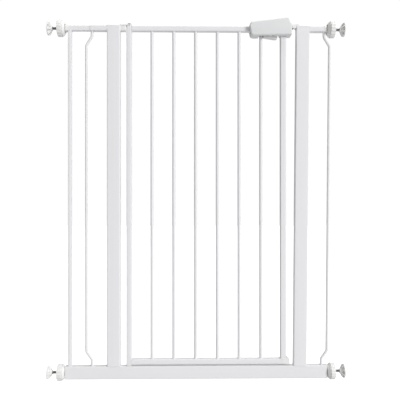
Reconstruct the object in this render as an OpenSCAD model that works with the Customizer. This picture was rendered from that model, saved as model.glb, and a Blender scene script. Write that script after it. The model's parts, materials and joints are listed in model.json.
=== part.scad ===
// Pressure-fit safety gate: a sprung U-frame of flat tube, a barred door on two hinge pins,
// a squeeze latch, a one-upright extension on the hinge side and four screw-out wall fixings.
// Millimetres. +X runs from the hinge side to the latch side, +Y away from the viewer, +Z up.
// The floor is Z = 0 and the gate is centred on X = 0 and Y = 0.

/* [Frame] */
// Height of the posts and the door above the floor
gate_h = 1039.5; // [700:0.5:1200]
// Distance from the middle of the gate to the outer face of each wall pad
half_span = 436; // [430:1:445]
// Width of the two flat posts, seen from the front
post_w = 39; // [34:0.5:42]
// Depth of the posts and of the bottom rail
post_d = 20; // [18:0.5:22]
// Height of the bottom rail
rail_h = 38; // [32:0.5:40]
// Gap between the floor and the bottom rail
rail_lift = 5; // [5:0.5:8]
// Middle of the hinge-side post
left_post_x = -242.5; // [-246:0.5:-241]
// Middle of the latch-side post, at half the gate's height
right_post_x = 308; // [307:0.5:310]
// Outward lean of the sprung latch-side post, in degrees
post_lean = 0.5; // [0.4:0.1:0.6]
// Wall thickness of the steel tube
wall = 1.5; // [1:0.1:1.8]
// Diameter of the cranked side bars
side_bar_d = 8; // [6:0.5:9]

/* [Door] */
// Hinge axis, which is also the middle of the hinge-side upright
hinge_x = -197.7; // [-199:0.1:-197]
// Width of the hinge-side upright
hinge_upright_w = 15; // [14:0.5:15]
// Width of the latch-side upright
latch_upright_w = 17.5; // [16:0.5:17.5]
// Depth of the door's square tube
door_d = 16; // [14:0.5:16]
// Height of the door's top and bottom rails
door_rail_h = 15.5; // [14:0.5:16]
// Diameter of the round bars
bar_d = 9.5; // [8:0.5:10]
// Distance from bar to bar
bar_pitch = 64; // [60:0.5:64]
// Distance from the hinge axis to the first bar
first_bar = 67; // [64:0.5:67]
// How far the door opens, in degrees
door_open = 110; // [90:5:110]

/* [Wall fixings] */
// Diameter of the threaded spindles
spindle_d = 8; // [8:0.5:8]
// Length of each spindle
spindle_l = 82; // [70:1:84]
// Diameter of the adjusting handwheels
knob_d = 48; // [44:1:48]
// Thickness of the handwheels
knob_t = 21.5; // [19:0.5:22]
// Scallops around each handwheel
knob_flutes = 16; // [8:4:16]
// Diameter of the wall pads
pad_d = 40; // [36:1:42]
// Thickness of the wall pads
pad_t = 14; // [12:0.5:15]
// Stiffening ribs on each wall pad
pad_ribs = 8; // [6:1:10]

/* [Latch] */
// Front face of the latch cover, in front of the middle plane
cover_front = 24; // [22:0.5:24]
// Back face of the latch housing, behind the middle plane
housing_back = 14; // [12:0.5:16]
// Wall thickness of the moulded shells
shell_wall = 2; // [1.6:0.1:2.2]
// How far the bolt reaches behind the keeper
bolt_reach = 6.2; // [4:0.1:7]

/* [Hidden] */
$fn = 48;
eps = 0.01;
far = 60;
clear = 0.3;
run_fit = 0.05;
corner_r = 3;

// Heights
rail_top = rail_lift + rail_h;
rail_mid = rail_lift + rail_h / 2;
cap_t = 1.5;
tube_top = gate_h - cap_t;
stub_h = 16;
stub_d = 18;
stub_z = gate_h - stub_h / 2;
stub_low = gate_h - stub_h;

// Rail and stub ends
rail_end = 381.5;
stub_end = 376;
right_stub_end = 381;
plug_face = 384;
joint_x = -310.6;
post_half = post_w / 2;
left_post_in = left_post_x + post_half;
left_post_out = left_post_x - post_half;
mid_h = 529;
right_base_x = right_post_x - (mid_h - rail_top) * tan(post_lean);

// Extension
extension_h = 15;
extension_d = 14;
extension_wall = 1.2;
extension_upright_w = 10;
extension_upright_x = -371;
spigot_slip = 0.2;

// Cranked side bars, measured from the middle of their post
foot_offset = 64;
crank = 16.5;
crank_low = [61, 84];
crank_high = [982, 1009];

// Door
door_low = 47.5;
door_top = gate_h - 0.8;
rail_under = door_top - door_rail_h;
low_rail_top = door_low + door_rail_h;
latch_upright_x = 254.75;
hinge_in = hinge_x + hinge_upright_w / 2;
latch_in = latch_upright_x - latch_upright_w / 2;
latch_out = latch_upright_x + latch_upright_w / 2;
bush_flange = 1.5;
low_flange = 3.2;
washer_t = 1;
corner_x = 253;

// Hinges
upper_pin_d = 6;
lower_pin_d = 8;
strap_t = 3;
strap_lap = 2;
hinge_stub_d = 16;
hinge_stub_end = -211.5;
sweep_r = 11.5;
upper_bush_l = 26;
lower_bush_l = 18;

// Wall fixings
spindle_seat = 8;

// Latch: front outline as [x, z, radius] of its round corners
OUTLINE = [
    [160.6, 1035.5, 7], [163, 1041.5, 6.5], [264, 1056, 4.6],
    [274, 1038, 4], [274, 1014.3, 4], [166.5, 1017.2, 9.2]
];
seam_y = -0.5;
front_bevel = 3;
lever_pivot = [201.2, 1014.2];
lever_arm = 29;
lever_pin_d = 4;
bolt_low = 1033;
bolt_tongue_h = 6;
bolt_bar_low = 1040.2;
bolt_bar_h = 5.6;
bolt_d = 12;
bolt_leg_x = 271.2;
keeper_x = 281;
keeper_overhang = 31.5;
keeper_t = 4.5;
keeper_drop = 6;
keeper_screw_x = -15;
keeper_screw_pitch = 10;
SCREW_POINTS = [[168.5, 1015], [250, 1051.8], [269.6, 1018.4]];
screw_r = 1.5;
screw_head_r = 2.9;
boss_r = 3.6;
screw_sink = 2.4;
pin_cover = 1.2;
pivot_boss_r = 4.5;
latch_below = 1000;
notch_top = 1018;
pad_mouth = [183.5, 240.5];
arm_room = -15.2;
back_notches = [[182, 196], [208, latch_in - 1]];
spring_x = 226;
spring_r = 3.6;
spring_wire = 1;
spring_turns = 5;
spring_low = 1010.6;

STEEL_WHITE = "whitesmoke";
PLASTIC_WHITE = "white";
ZINC = "silver";
NYLON = "dimgray";

// ---------- Shared shapes ----------

// Rectangle with true round corners, centred.
module round_rect(w, h, r) {
    square([w - 2 * r, h], center = true);
    square([w, h - 2 * r], center = true);
    for (sx = [-1, 1]) {
        for (sy = [-1, 1]) {
            translate([sx * (w / 2 - r), sy * (h / 2 - r)]) circle(r);
        }
    }
}

// Open rectangular tube along +Z.
module tube_z(w, d, l, r = corner_r, t = wall) {
    linear_extrude(l) {
        difference() {
            round_rect(w, d, r);
            round_rect(w - 2 * t, d - 2 * t, r - t);
        }
    }
}

// Solid rectangular prism with round corners along +Z.
module bar_z(w, d, l, r) {
    linear_extrude(l) round_rect(w, d, r);
}

// Turns a part built along +Z to run along +X, its width staying vertical.
module along_x() {
    rotate([0, 90, 0]) children();
}

// Turns a part built along +Z to run along -Y, towards the front.
module along_front() {
    rotate([90, 0, 0]) children();
}

// Everything inside follows the leaning latch-side post, whose foot is the local origin.
module on_right_post() {
    translate([right_base_x, 0, rail_top]) rotate([0, post_lean, 0]) children();
}

// Round rod between two points of the XZ plane.
module rod_xz(a, b, d) {
    v = b - a;
    translate([a[0], 0, a[1]]) rotate([0, atan2(v[0], v[1]), 0]) cylinder(d = d, h = norm(v));
}

// ---------- U-frame ----------

module bottom_rail() {
    color(STEEL_WHITE) difference() {
        translate([joint_x, 0, rail_mid]) along_x() tube_z(rail_h, post_d, rail_end - joint_x);
        translate([hinge_x, 0, rail_mid]) cylinder(d = lower_pin_d, h = rail_h);
    }
}

module left_post() {
    color(STEEL_WHITE) translate([left_post_x, 0, rail_top]) tube_z(post_w, post_d, tube_top - rail_top);
}

module right_post() {
    color(STEEL_WHITE) difference() {
        on_right_post() translate([0, 0, -1]) tube_z(post_w, post_d, tube_top - rail_top + 1);
        translate([0, -far, rail_top - far]) cube([2 * rail_end, 2 * far, far]);
    }
}

module left_stub() {
    color(STEEL_WHITE) translate([joint_x, 0, stub_z]) along_x()
        tube_z(stub_h, stub_d, left_post_out - joint_x);
}

module right_stub() {
    color(STEEL_WHITE) difference() {
        translate([right_post_x, 0, stub_z]) along_x()
            tube_z(stub_h, stub_d, right_stub_end - right_post_x);
        on_right_post() translate([-post_w, -far, 0]) cube([post_w * 1.5, 2 * far, gate_h]);
    }
}

// Wire bar with a crank near each end, from the rail to the stub, on one side of its post.
// It starts and ends a little inside the tubes, for the trim below. Each bend is a slightly
// fuller ball, as a bent wire is.
module side_bar(side) {
    spare = 1;
    bend_d = side_bar_d + 0.4;
    foot = side * foot_offset;
    out = side * (foot_offset + crank);
    path = [
        [foot, rail_top - spare], [foot, crank_low[0]], [out, crank_low[1]],
        [out, crank_high[0]], [foot, crank_high[1]], [foot, stub_low + spare]
    ];
    translate([0, 0, -rail_top]) {
        for (i = [0:len(path) - 2]) {
            rod_xz(path[i], path[i + 1], side_bar_d);
        }
        for (i = [1:len(path) - 2]) {
            translate([path[i][0], 0, path[i][1]]) sphere(d = bend_d);
        }
    }
}

// Cuts a side bar off flush with the rail below it and the stub above it.
module trim_between_rails() {
    difference() {
        children();
        translate([-rail_end, -far, rail_top - far]) cube([2 * rail_end, 2 * far, far]);
        translate([-rail_end, -far, stub_low]) cube([2 * rail_end, 2 * far, far]);
    }
}

module left_side_bar() {
    color(STEEL_WHITE) trim_between_rails() translate([left_post_x, 0, rail_top]) side_bar(-1);
}

module right_side_bar() {
    color(STEEL_WHITE) trim_between_rails() on_right_post() side_bar(1);
}

// Moulded plug with a thin flange that closes a post.
module post_cap() {
    skirt = 12;
    bar_z(post_w, post_d, cap_t, corner_r);
    translate([0, 0, -skirt]) tube_z(post_w - 2 * wall, post_d - 2 * wall, skirt, corner_r - wall, 1.4);
}

module left_post_cap() {
    color(PLASTIC_WHITE) translate([left_post_x, 0, tube_top]) post_cap();
}

module right_post_cap() {
    color(PLASTIC_WHITE) difference() {
        on_right_post() translate([0, 0, tube_top - rail_top]) post_cap();
        keeper_screw_holes();
    }
}

// Keeper on the latch-side post: a lip over the bolt and a front cheek that stops the door.
module latch_keeper() {
    z0 = gate_h - rail_top;
    plate_l = 22;
    cheek_t = 3;
    cheek_l = keeper_overhang - post_half - clear;
    web_t = 2;
    color(PLASTIC_WHITE) difference() {
        on_right_post() translate([-keeper_overhang, 0, z0]) {
            translate([plate_l / 2, 0, 0]) bar_z(plate_l, post_d, keeper_t, 2.5);
            translate([0, -post_d / 2 + 1, -keeper_drop]) cube([cheek_l, cheek_t - 1, keeper_drop]);
            translate([1, -post_d / 2, -keeper_drop]) cube([cheek_l - 1, 1, keeper_drop]);
            translate([cheek_l - web_t, -post_d / 2, -keeper_drop]) cube([web_t, post_d - 1, keeper_drop]);
        }
        keeper_screw_holes();
    }
}

module at_keeper_screws() {
    on_right_post() for (side = [-1, 1]) {
        translate([keeper_screw_x, side * keeper_screw_pitch / 2, gate_h - rail_top]) children();
    }
}

module keeper_screw_holes() {
    at_keeper_screws() translate([0, 0, -far]) cylinder(r = screw_r, h = 2 * far);
}

module keeper_screws() {
    color(ZINC) at_keeper_screws() pan_screw(keeper_t, 14);
}

// Pan-head screw standing on z = seat, its shank running down from there.
module pan_screw(seat, shank) {
    head_h = 1.8;
    translate([0, 0, seat - shank]) cylinder(r = screw_r, h = shank);
    difference() {
        translate([0, 0, seat]) cylinder(r1 = screw_head_r, r2 = screw_head_r - 0.7, h = head_h);
        for (turn = [0, 90]) {
            rotate(turn) translate([-1.6, -0.35, seat + head_h - 0.9]) cube([3.2, 0.7, 2]);
        }
    }
}

// ---------- Hinges ----------

module hinge_stub() {
    color(STEEL_WHITE) translate([left_post_in, 0, stub_z]) along_x()
        tube_z(stub_h, hinge_stub_d, hinge_stub_end - left_post_in);
}

// Moulded end of the hinge stub, hollowed to let the upright turn and cut away behind for the
// open door's top rail.
module hinge_stub_cap() {
    insert = 8;
    nose = 6.4;
    spare_turn = 2;
    color(PLASTIC_WHITE) {
        difference() {
            translate([hinge_stub_end, 0, stub_z]) along_x() bar_z(stub_h, hinge_stub_d, nose, 2);
            translate([hinge_x, 0, stub_low - 1]) {
                cylinder(r = sweep_r, h = stub_h + 2, $fn = 96);
                rotate(door_open + spare_turn) translate([0, -door_d / 2 - clear, 0])
                    cube([far, door_d + 2 * clear, stub_h + 2]);
            }
        }
        translate([hinge_stub_end - insert, 0, stub_z]) along_x()
            bar_z(stub_h - 2 * wall, hinge_stub_d - 2 * wall, insert, corner_r - wall);
    }
}

// Strap welded over the post and the stub that carries the upper hinge pin.
module hinge_strap() {
    color(STEEL_WHITE) translate([0, 0, gate_h]) difference() {
        union() {
            translate([left_post_in - strap_lap, -door_d / 2, 0])
                cube([hinge_x - left_post_in + strap_lap, door_d, strap_t]);
            translate([hinge_x, 0, 0]) cylinder(d = door_d, h = strap_t);
        }
        translate([hinge_x, 0, -1]) cylinder(d = upper_pin_d, h = strap_t + 2);
    }
}

module upper_hinge_pin() {
    head_d = 11;
    head_h = 4;
    reach = 30;
    color(ZINC) translate([hinge_x, 0, gate_h + strap_t]) {
        cylinder(d = head_d, h = head_h - 1.2);
        translate([0, 0, head_h - 1.2]) cylinder(d1 = head_d, d2 = head_d - 3, h = 1.2);
        translate([0, 0, -reach - strap_t]) cylinder(d = upper_pin_d, h = reach + strap_t);
    }
}

module lower_hinge_pin() {
    head_d = 13;
    head_h = 2.5;
    reach = 24;
    color(ZINC) translate([hinge_x, 0, rail_top - wall]) {
        translate([0, 0, -head_h]) cylinder(d = head_d, h = head_h);
        cylinder(d = lower_pin_d, h = wall + reach);
    }
}

module hinge_washer() {
    color(PLASTIC_WHITE) translate([hinge_x, 0, rail_top]) difference() {
        cylinder(d = 14, h = washer_t);
        translate([0, 0, -1]) cylinder(d = lower_pin_d + 2 * run_fit, h = washer_t + 2);
    }
}

// Moulded bush: a plug inside the upright and a flange across its end.
module bush(flange_t, plug_l, bore_d) {
    difference() {
        union() {
            bar_z(hinge_upright_w, door_d, flange_t, 2);
            translate([0, 0, flange_t])
                bar_z(hinge_upright_w - 2 * wall, door_d - 2 * wall, plug_l, corner_r - wall);
        }
        translate([0, 0, -1]) cylinder(d = bore_d + 2 * run_fit, h = plug_l + flange_t + 2);
    }
}

module upper_hinge_bush() {
    color(PLASTIC_WHITE) translate([hinge_x, 0, door_top]) mirror([0, 0, 1])
        bush(bush_flange, upper_bush_l, upper_pin_d);
}

module lower_hinge_bush() {
    color(PLASTIC_WHITE) translate([hinge_x, 0, door_low - low_flange])
        bush(low_flange, lower_bush_l, lower_pin_d);
}

// ---------- Extension ----------

module extension_top_rail() {
    color(STEEL_WHITE) translate([-stub_end, 0, stub_z]) along_x()
        tube_z(extension_h, extension_d, joint_x + stub_end, 2.5, extension_wall);
}

module extension_bottom_rail() {
    color(STEEL_WHITE) translate([-rail_end, 0, rail_mid]) along_x()
        tube_z(rail_h, post_d, joint_x + rail_end);
}

module extension_upright() {
    top = stub_z - extension_h / 2;
    color(STEEL_WHITE) translate([extension_upright_x, 0, rail_top])
        tube_z(extension_upright_w, extension_d, top - rail_top, 2, extension_wall);
}

// Hollow joiner that slides into both tubes at a joint.
module spigot(h, d, l, t) {
    translate([joint_x - l / 2, 0, 0]) along_x() tube_z(h, d, l, 1.8, t);
}

module top_spigot() {
    inner_h = extension_h - 2 * extension_wall - spigot_slip;
    inner_d = extension_d - 2 * extension_wall - spigot_slip;
    color(ZINC) translate([0, 0, stub_z]) spigot(inner_h, inner_d, 44, 1);
}

module bottom_spigot() {
    inner_h = rail_h - 2 * wall - spigot_slip;
    inner_d = post_d - 2 * wall - spigot_slip;
    color(ZINC) translate([0, 0, rail_mid]) spigot(inner_h, inner_d, 50, 1.6);
}

// ---------- Rail end plugs ----------

// Plug along +X from its inner end, with a bored guide for the spindle.
module end_plug(h, d, t, insert, flange_h, flange_d, flange_t) {
    insert_r = 1.8;
    difference() {
        union() {
            along_x() bar_z(h - 2 * t, d - 2 * t, insert + eps, insert_r);
            translate([insert, 0, 0]) along_x() bar_z(flange_h, flange_d, flange_t, 2.5);
        }
        translate([-1, 0, 0]) along_x() cylinder(d = spindle_d + 2 * run_fit, h = insert + flange_t + 2);
    }
}

// Thin sleeve that runs back from the right plug's flange over the stub, open below for the side bar.
module stub_sleeve(l) {
    slip = 0.1;
    difference() {
        translate([right_stub_end - l, 0, stub_z]) along_x() bar_z(stub_h + 1, stub_d + 1, l + eps, 2.5);
        translate([right_stub_end - l - 1, 0, stub_z]) along_x()
            bar_z(stub_h + 2 * slip, stub_d + 2 * slip, l + 2, corner_r);
        translate([right_stub_end - l - 1, -far, stub_low - far]) cube([l + 1, 2 * far, far + corner_r]);
    }
}

module top_end_plugs() {
    insert = 18;
    color(PLASTIC_WHITE) {
        translate([right_stub_end - insert, 0, stub_z])
            end_plug(stub_h, stub_d, wall, insert, stub_h + 1, stub_d + 1, plug_face - right_stub_end);
        stub_sleeve(right_stub_end - stub_end);
        translate([-stub_end + insert, 0, stub_z]) mirror([1, 0, 0])
            end_plug(
                extension_h, extension_d, extension_wall, insert, stub_h + 1, stub_d, plug_face - stub_end
            );
    }
}

module bottom_end_plugs() {
    insert = 22;
    for (side = [0, 1]) {
        color(PLASTIC_WHITE) mirror([side, 0, 0]) translate([rail_end - insert, 0, rail_mid])
            end_plug(rail_h, post_d, wall, insert, rail_h, post_d, plug_face - rail_end);
    }
}

// ---------- Door ----------

module hinge_upright() {
    color(STEEL_WHITE) translate([hinge_x, 0, door_low])
        tube_z(hinge_upright_w, door_d, door_top - bush_flange - door_low);
}

module latch_upright() {
    color(STEEL_WHITE) translate([latch_upright_x, 0, low_rail_top])
        tube_z(latch_upright_w, door_d, door_top - low_rail_top);
}

module door_top_rail() {
    color(STEEL_WHITE) translate([hinge_in, 0, rail_under + door_rail_h / 2]) along_x()
        tube_z(door_rail_h, door_d, latch_in - hinge_in);
}

module door_bottom_rail() {
    color(STEEL_WHITE) translate([hinge_in, 0, door_low + door_rail_h / 2]) along_x()
        tube_z(door_rail_h, door_d, corner_x - hinge_in);
}

module door_bar(i) {
    color(STEEL_WHITE) translate([hinge_x + first_bar + (i - 1) * bar_pitch, 0, low_rail_top])
        cylinder(d = bar_d, h = rail_under - low_rail_top);
}

// Moulded end of the door's bottom rail, with a buffer wedge beside the upright.
module corner_block() {
    buffer_x = 273;
    wedge_low = 61.5;
    wedge_top = 71;
    insert = 18;
    color(PLASTIC_WHITE) {
        translate([0, door_d / 2, 0]) along_front() linear_extrude(door_d) polygon([
            [corner_x, door_low], [buffer_x - 1, door_low], [buffer_x, door_low + 1],
            [buffer_x, wedge_low], [latch_out, wedge_top], [latch_out, low_rail_top],
            [corner_x, low_rail_top]
        ]);
        translate([corner_x - insert, 0, door_low + door_rail_h / 2]) along_x()
            bar_z(door_rail_h - 2 * wall, door_d - 2 * wall, insert, corner_r - wall);
    }
}

// ---------- Latch ----------

// Front outline of the latch shells, shrunk by inset.
module latch_outline(inset) {
    hull() for (c = OUTLINE) {
        translate([c[0], c[1]]) circle(max(c[2] - inset, 0.6), $fn = 32);
    }
}

// Slab of the outline between two depths.
module latch_slab(y0, y1, inset) {
    translate([0, y1, 0]) along_front() linear_extrude(y1 - y0) latch_outline(inset);
}

// Hole through the shells along Y at a point of the front view.
module cross_hole(p, r, y0, y1) {
    translate([p[0], y1, p[1]]) along_front() cylinder(r = r, h = y1 - y0);
}

// Openings that both shells leave for the door's tubes, the lever and the bolt.
module latch_openings() {
    slip = 0.2;
    side = door_d / 2 + slip;
    rail_mouth_x = 150;
    pad_mouth_top = 1013;
    translate([rail_mouth_x, -side, rail_under - slip]) cube([20, 2 * side, door_rail_h + 2 * slip]);
    translate([latch_in - slip, -side, latch_below])
        cube([latch_upright_w + 2 * slip, 2 * side, notch_top - latch_below]);
    translate([pad_mouth[0], arm_room, latch_below])
        cube([pad_mouth[1] - pad_mouth[0], side - arm_room, pad_mouth_top - latch_below]);
    translate([bolt_leg_x, -bolt_d / 2 - 2 * clear, bolt_low - 2 * clear])
        cube([10, bolt_d + 4 * clear, bolt_tongue_h + 4 * clear]);
}

module latch_cover() {
    color(PLASTIC_WHITE) difference() {
        union() {
            difference() {
                hull() {
                    latch_slab(-cover_front, -cover_front + 1, front_bevel);
                    latch_slab(-cover_front + front_bevel, seam_y, 0);
                }
                latch_slab(-cover_front + shell_wall, seam_y + 1, shell_wall);
            }
            for (p = SCREW_POINTS) {
                cross_hole(p, boss_r, -cover_front + 1, seam_y);
            }
            cross_hole(lever_pivot, pivot_boss_r, -cover_front + 1, arm_room);
        }
        latch_openings();
        for (p = SCREW_POINTS) {
            cross_hole(p, screw_r, -cover_front + 8, seam_y + 1);
        }
        cross_hole(lever_pivot, lever_pin_d / 2, -cover_front + shell_wall, seam_y);
    }
}

module latch_housing() {
    screw_seat = housing_back - screw_sink;
    pin_end = housing_back - pin_cover;
    color(PLASTIC_WHITE) difference() {
        union() {
            difference() {
                hull() {
                    latch_slab(seam_y, housing_back - front_bevel, 0);
                    latch_slab(housing_back - 1, housing_back, front_bevel);
                }
                latch_slab(seam_y - 1, housing_back - shell_wall, shell_wall);
                for (x = back_notches) {
                    translate([x[0], seam_y - 1, latch_below])
                        cube([x[1] - x[0], far, notch_top - latch_below]);
                }
            }
            for (p = SCREW_POINTS) {
                cross_hole(p, boss_r, seam_y, housing_back - 1);
            }
            cross_hole(lever_pivot, pivot_boss_r, door_d / 2 + 2 * clear, housing_back - 1);
        }
        latch_openings();
        for (p = SCREW_POINTS) {
            cross_hole(p, screw_r, seam_y - 1, housing_back + 1);
            cross_hole(p, screw_head_r + 0.4, screw_seat, housing_back + 1);
        }
        cross_hole(lever_pivot, lever_pin_d / 2, seam_y, pin_end);
    }
}

module latch_screws() {
    shank = 24;
    for (p = SCREW_POINTS) {
        color(ZINC) translate([p[0], housing_back - screw_sink, p[1]]) rotate([-90, 0, 0])
            pan_screw(0, shank);
    }
}

module lever_pin() {
    color(ZINC)
        cross_hole(lever_pivot, lever_pin_d / 2, -cover_front + shell_wall, housing_back - pin_cover);
}

// Squeeze lever: the finger pad under the rail, the hub on its pin and the arm in front of the rail.
module squeeze_lever() {
    pad_front = -8;
    pad_back = door_d / 2 - 0.4;
    arm_front = -14;
    arm_back = -10.6;
    arm_half = 4.4;
    hub_r = 4.2;
    hub_x = lever_pivot[0];
    hub_z = lever_pivot[1];
    top = hub_z + lever_arm;
    color(PLASTIC_WHITE) difference() {
        union() {
            translate([0, pad_back, 0]) along_front() linear_extrude(pad_back - pad_front)
                finger_pad_outline();
            cross_hole(lever_pivot, hub_r, arm_front, pad_back);
            translate([hub_x - arm_half, arm_front, hub_z])
                cube([2 * arm_half, arm_back - arm_front, lever_arm]);
            cross_hole(lever_pivot, arm_half, arm_front, arm_back);
            cross_hole([hub_x, top], arm_half, arm_front, arm_back);
        }
        cross_hole(lever_pivot, lever_pin_d / 2 + run_fit, -far, far);
        cross_hole([hub_x, top], lever_pin_d / 2, -far, far);
    }
}

// Side view of the finger pad: thin at the hub, deeper towards its free end.
module finger_pad_outline() {
    polygon([
        [197.5, 1013.5], [196.8, 1008.4], [198.6, 1006.4], [222, 1003.4], [227, 1002.2],
        [233.5, 1002], [236.6, 1003.6], [237.5, 1006.4], [237.2, 1009.2], [235.6, 1010.2],
        [212, 1010.2], [205.5, 1014.2]
    ]);
}

module drive_pin() {
    color(ZINC) cross_hole([lever_pivot[0], lever_pivot[1] + lever_arm], lever_pin_d / 2, -14, 1);
}

// Closed coil between the finger pad and the door's top rail, as a swept tube.
function coil_point(t, h) = [
    spring_x + spring_r * cos(360 * spring_turns * t),
    spring_r * sin(360 * spring_turns * t),
    spring_low + spring_wire / 2 + t * h
];

module lever_spring() {
    sides = 6;
    rings = spring_turns * 14;
    h = rail_under - spring_low - spring_wire;
    ring_points = [
        for (i = [0:rings]) for (k = [0:sides - 1])
            let (t = i / rings, a = 360 * spring_turns * t, b = 360 * k / sides, c = coil_point(t, h))
            c + spring_wire / 2 * [cos(a) * cos(b), sin(a) * cos(b), sin(b)]
    ];
    skin = [
        for (i = [0:rings - 1]) for (k = [0:sides - 1])
            let (n = (k + 1) % sides, j = i * sides)
            [j + k, j + sides + k, j + sides + n, j + n]
    ];
    ends = [[for (k = [0:sides - 1]) k], [for (k = [sides - 1:-1:0]) rings * sides + k]];
    color(ZINC) polyhedron(points = ring_points, faces = concat(skin, ends));
}

// Sliding bolt: a bar over the door's top rail, a leg past the upright and the tongue under the keeper.
module latch_bolt() {
    tip = keeper_x + bolt_reach;
    bar_x = 186;
    bar_top = bolt_bar_low + bolt_bar_h;
    tongue_top = bolt_low + bolt_tongue_h;
    slot_w = lever_pin_d + 2 * clear;
    color(NYLON) difference() {
        translate([0, bolt_d / 2, 0]) along_front() linear_extrude(bolt_d) polygon([
            [bar_x, bolt_bar_low], [bolt_leg_x, bolt_bar_low], [bolt_leg_x, bolt_low],
            [tip - 2.2, bolt_low], [tip, bolt_low + 2.2], [tip, tongue_top],
            [275, tongue_top], [bolt_leg_x - 0.2, bar_top], [bar_x, bar_top]
        ]);
        translate([lever_pivot[0] - slot_w / 2, -bolt_d, bolt_bar_low - 1])
            cube([slot_w, bolt_d + 1 + 2 * clear, bolt_bar_h + 2]);
    }
}

// ---------- Wall fixings ----------

// Places a wall fixing, built along +X from the middle plane, at one corner of the gate.
module at_corner(side, height) {
    translate([0, 0, height]) mirror([side < 0 ? 1 : 0, 0, 0]) children();
}

module spindle() {
    end = half_span - pad_t + spindle_seat;
    chamfer = 1;
    color(ZINC) translate([end - spindle_l, 0, 0]) along_x() {
        cylinder(d1 = spindle_d - 2 * chamfer, d2 = spindle_d, h = chamfer);
        translate([0, 0, chamfer]) cylinder(d = spindle_d, h = spindle_l - chamfer);
    }
}

// Handwheel nut: a cone towards the rail, a groove, and a scalloped rim towards the wall.
module knob() {
    rim_r = knob_d / 2;
    cone_t = 6.5;
    groove_t = 2;
    groove_r = rim_r - 3.5;
    edge = 1.6;
    pocket_r = [8, 12.5];
    pocket_t = 5;
    dish_r = [9, 18.5];
    dish_t = 3;
    flute_r = 5;
    flute_depth = 1.1;
    flute_offset = rim_r + flute_r - flute_depth;
    bore_r = spindle_d / 2 + run_fit;
    rim_z = cone_t + groove_t;
    color(PLASTIC_WHITE) translate([plug_face + 0.5, 0, 0]) along_x() difference() {
        union() {
            rotate_extrude($fn = 96) polygon([
                [bore_r, 0], [pocket_r[0], 0], [pocket_r[0], pocket_t], [pocket_r[1], pocket_t],
                [pocket_r[1], 0], [rim_r - 9, 0], [rim_r - 1.5, cone_t], [groove_r, cone_t],
                [groove_r, rim_z + eps], [bore_r, rim_z + eps]
            ]);
            difference() {
                rotate_extrude($fn = 96) polygon([
                    [bore_r, rim_z], [rim_r - edge, rim_z], [rim_r, rim_z + edge], [rim_r, knob_t - edge],
                    [rim_r - edge, knob_t], [dish_r[1], knob_t], [dish_r[1], knob_t - dish_t],
                    [dish_r[0], knob_t - dish_t], [dish_r[0], knob_t], [bore_r, knob_t]
                ]);
                for (i = [0:knob_flutes - 1]) {
                    rotate(360 / knob_flutes * (i + 0.5)) translate([flute_offset, 0, rim_z - 1])
                        cylinder(r = flute_r, h = knob_t);
                }
            }
        }
    }
}

// Wall pad: a flat disc with a tapered hub and ribs towards the gate.
module pad() {
    disc_t = 3;
    hub_r = 6.5;
    cone_r = 11;
    rib_t = 2;
    rib_reach = pad_d / 2 - 1;
    depth = pad_t - disc_t;
    color(PLASTIC_WHITE) translate([half_span - pad_t, 0, 0]) along_x() difference() {
        union() {
            translate([0, 0, depth]) cylinder(d = pad_d, h = disc_t);
            cylinder(r1 = hub_r, r2 = cone_r, h = depth + eps);
            for (i = [0:pad_ribs - 1]) {
                rotate(360 / pad_ribs * (i + 0.5)) translate([0, rib_t / 2, 0]) rotate([90, 0, 0])
                    linear_extrude(rib_t) polygon([
                        [hub_r - 2, 1], [hub_r + 1, 1], [rib_reach, depth - 2.5], [rib_reach, depth + 1],
                        [hub_r - 2, depth + 1]
                    ]);
            }
        }
        translate([0, 0, -1]) cylinder(d = spindle_d, h = spindle_seat + 1);
    }
}

module top_left_spindle() { at_corner(-1, stub_z) spindle(); }
module top_left_knob() { at_corner(-1, stub_z) knob(); }
module top_left_pad() { at_corner(-1, stub_z) pad(); }
module bottom_left_spindle() { at_corner(-1, rail_mid) spindle(); }
module bottom_left_knob() { at_corner(-1, rail_mid) knob(); }
module bottom_left_pad() { at_corner(-1, rail_mid) pad(); }
module top_right_spindle() { at_corner(1, stub_z) spindle(); }
module top_right_knob() { at_corner(1, stub_z) knob(); }
module top_right_pad() { at_corner(1, stub_z) pad(); }
module bottom_right_spindle() { at_corner(1, rail_mid) spindle(); }
module bottom_right_knob() { at_corner(1, rail_mid) knob(); }
module bottom_right_pad() { at_corner(1, rail_mid) pad(); }

bottom_rail();
left_post();
right_post();
left_stub();
right_stub();
left_side_bar();
right_side_bar();
left_post_cap();
right_post_cap();
latch_keeper();
keeper_screws();
hinge_stub();
hinge_stub_cap();
hinge_strap();
upper_hinge_pin();
lower_hinge_pin();
hinge_washer();
extension_top_rail();
extension_bottom_rail();
extension_upright();
top_spigot();
bottom_spigot();
top_end_plugs();
bottom_end_plugs();
hinge_upright();
latch_upright();
door_top_rail();
door_bottom_rail();
door_bar(1);  // door_bar_1
door_bar(2);  // door_bar_2
door_bar(3);  // door_bar_3
door_bar(4);  // door_bar_4
door_bar(5);  // door_bar_5
door_bar(6);  // door_bar_6
upper_hinge_bush();
lower_hinge_bush();
corner_block();
latch_cover();
latch_housing();
latch_screws();
lever_pin();
squeeze_lever();
drive_pin();
lever_spring();
latch_bolt();
top_left_spindle();
top_left_knob();
top_left_pad();
bottom_left_spindle();
bottom_left_knob();
bottom_left_pad();
top_right_spindle();
top_right_knob();
top_right_pad();
bottom_right_spindle();
bottom_right_knob();
bottom_right_pad();
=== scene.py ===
"""Visual model of a pressure-fit safety gate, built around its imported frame.

Every piece is in metres in the frame's own axes: +X runs from the hinge side to the latch side, +Y from the
front to the back, and +Z up. Places and sizes come from the boxes of the frame's nodes.
"""

from __future__ import annotations

import json  # noqa: E402
import logging  # noqa: E402
import math  # noqa: E402
from dataclasses import dataclass  # noqa: E402
from enum import Enum  # noqa: E402
from typing import Any, Sequence  # noqa: E402

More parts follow.
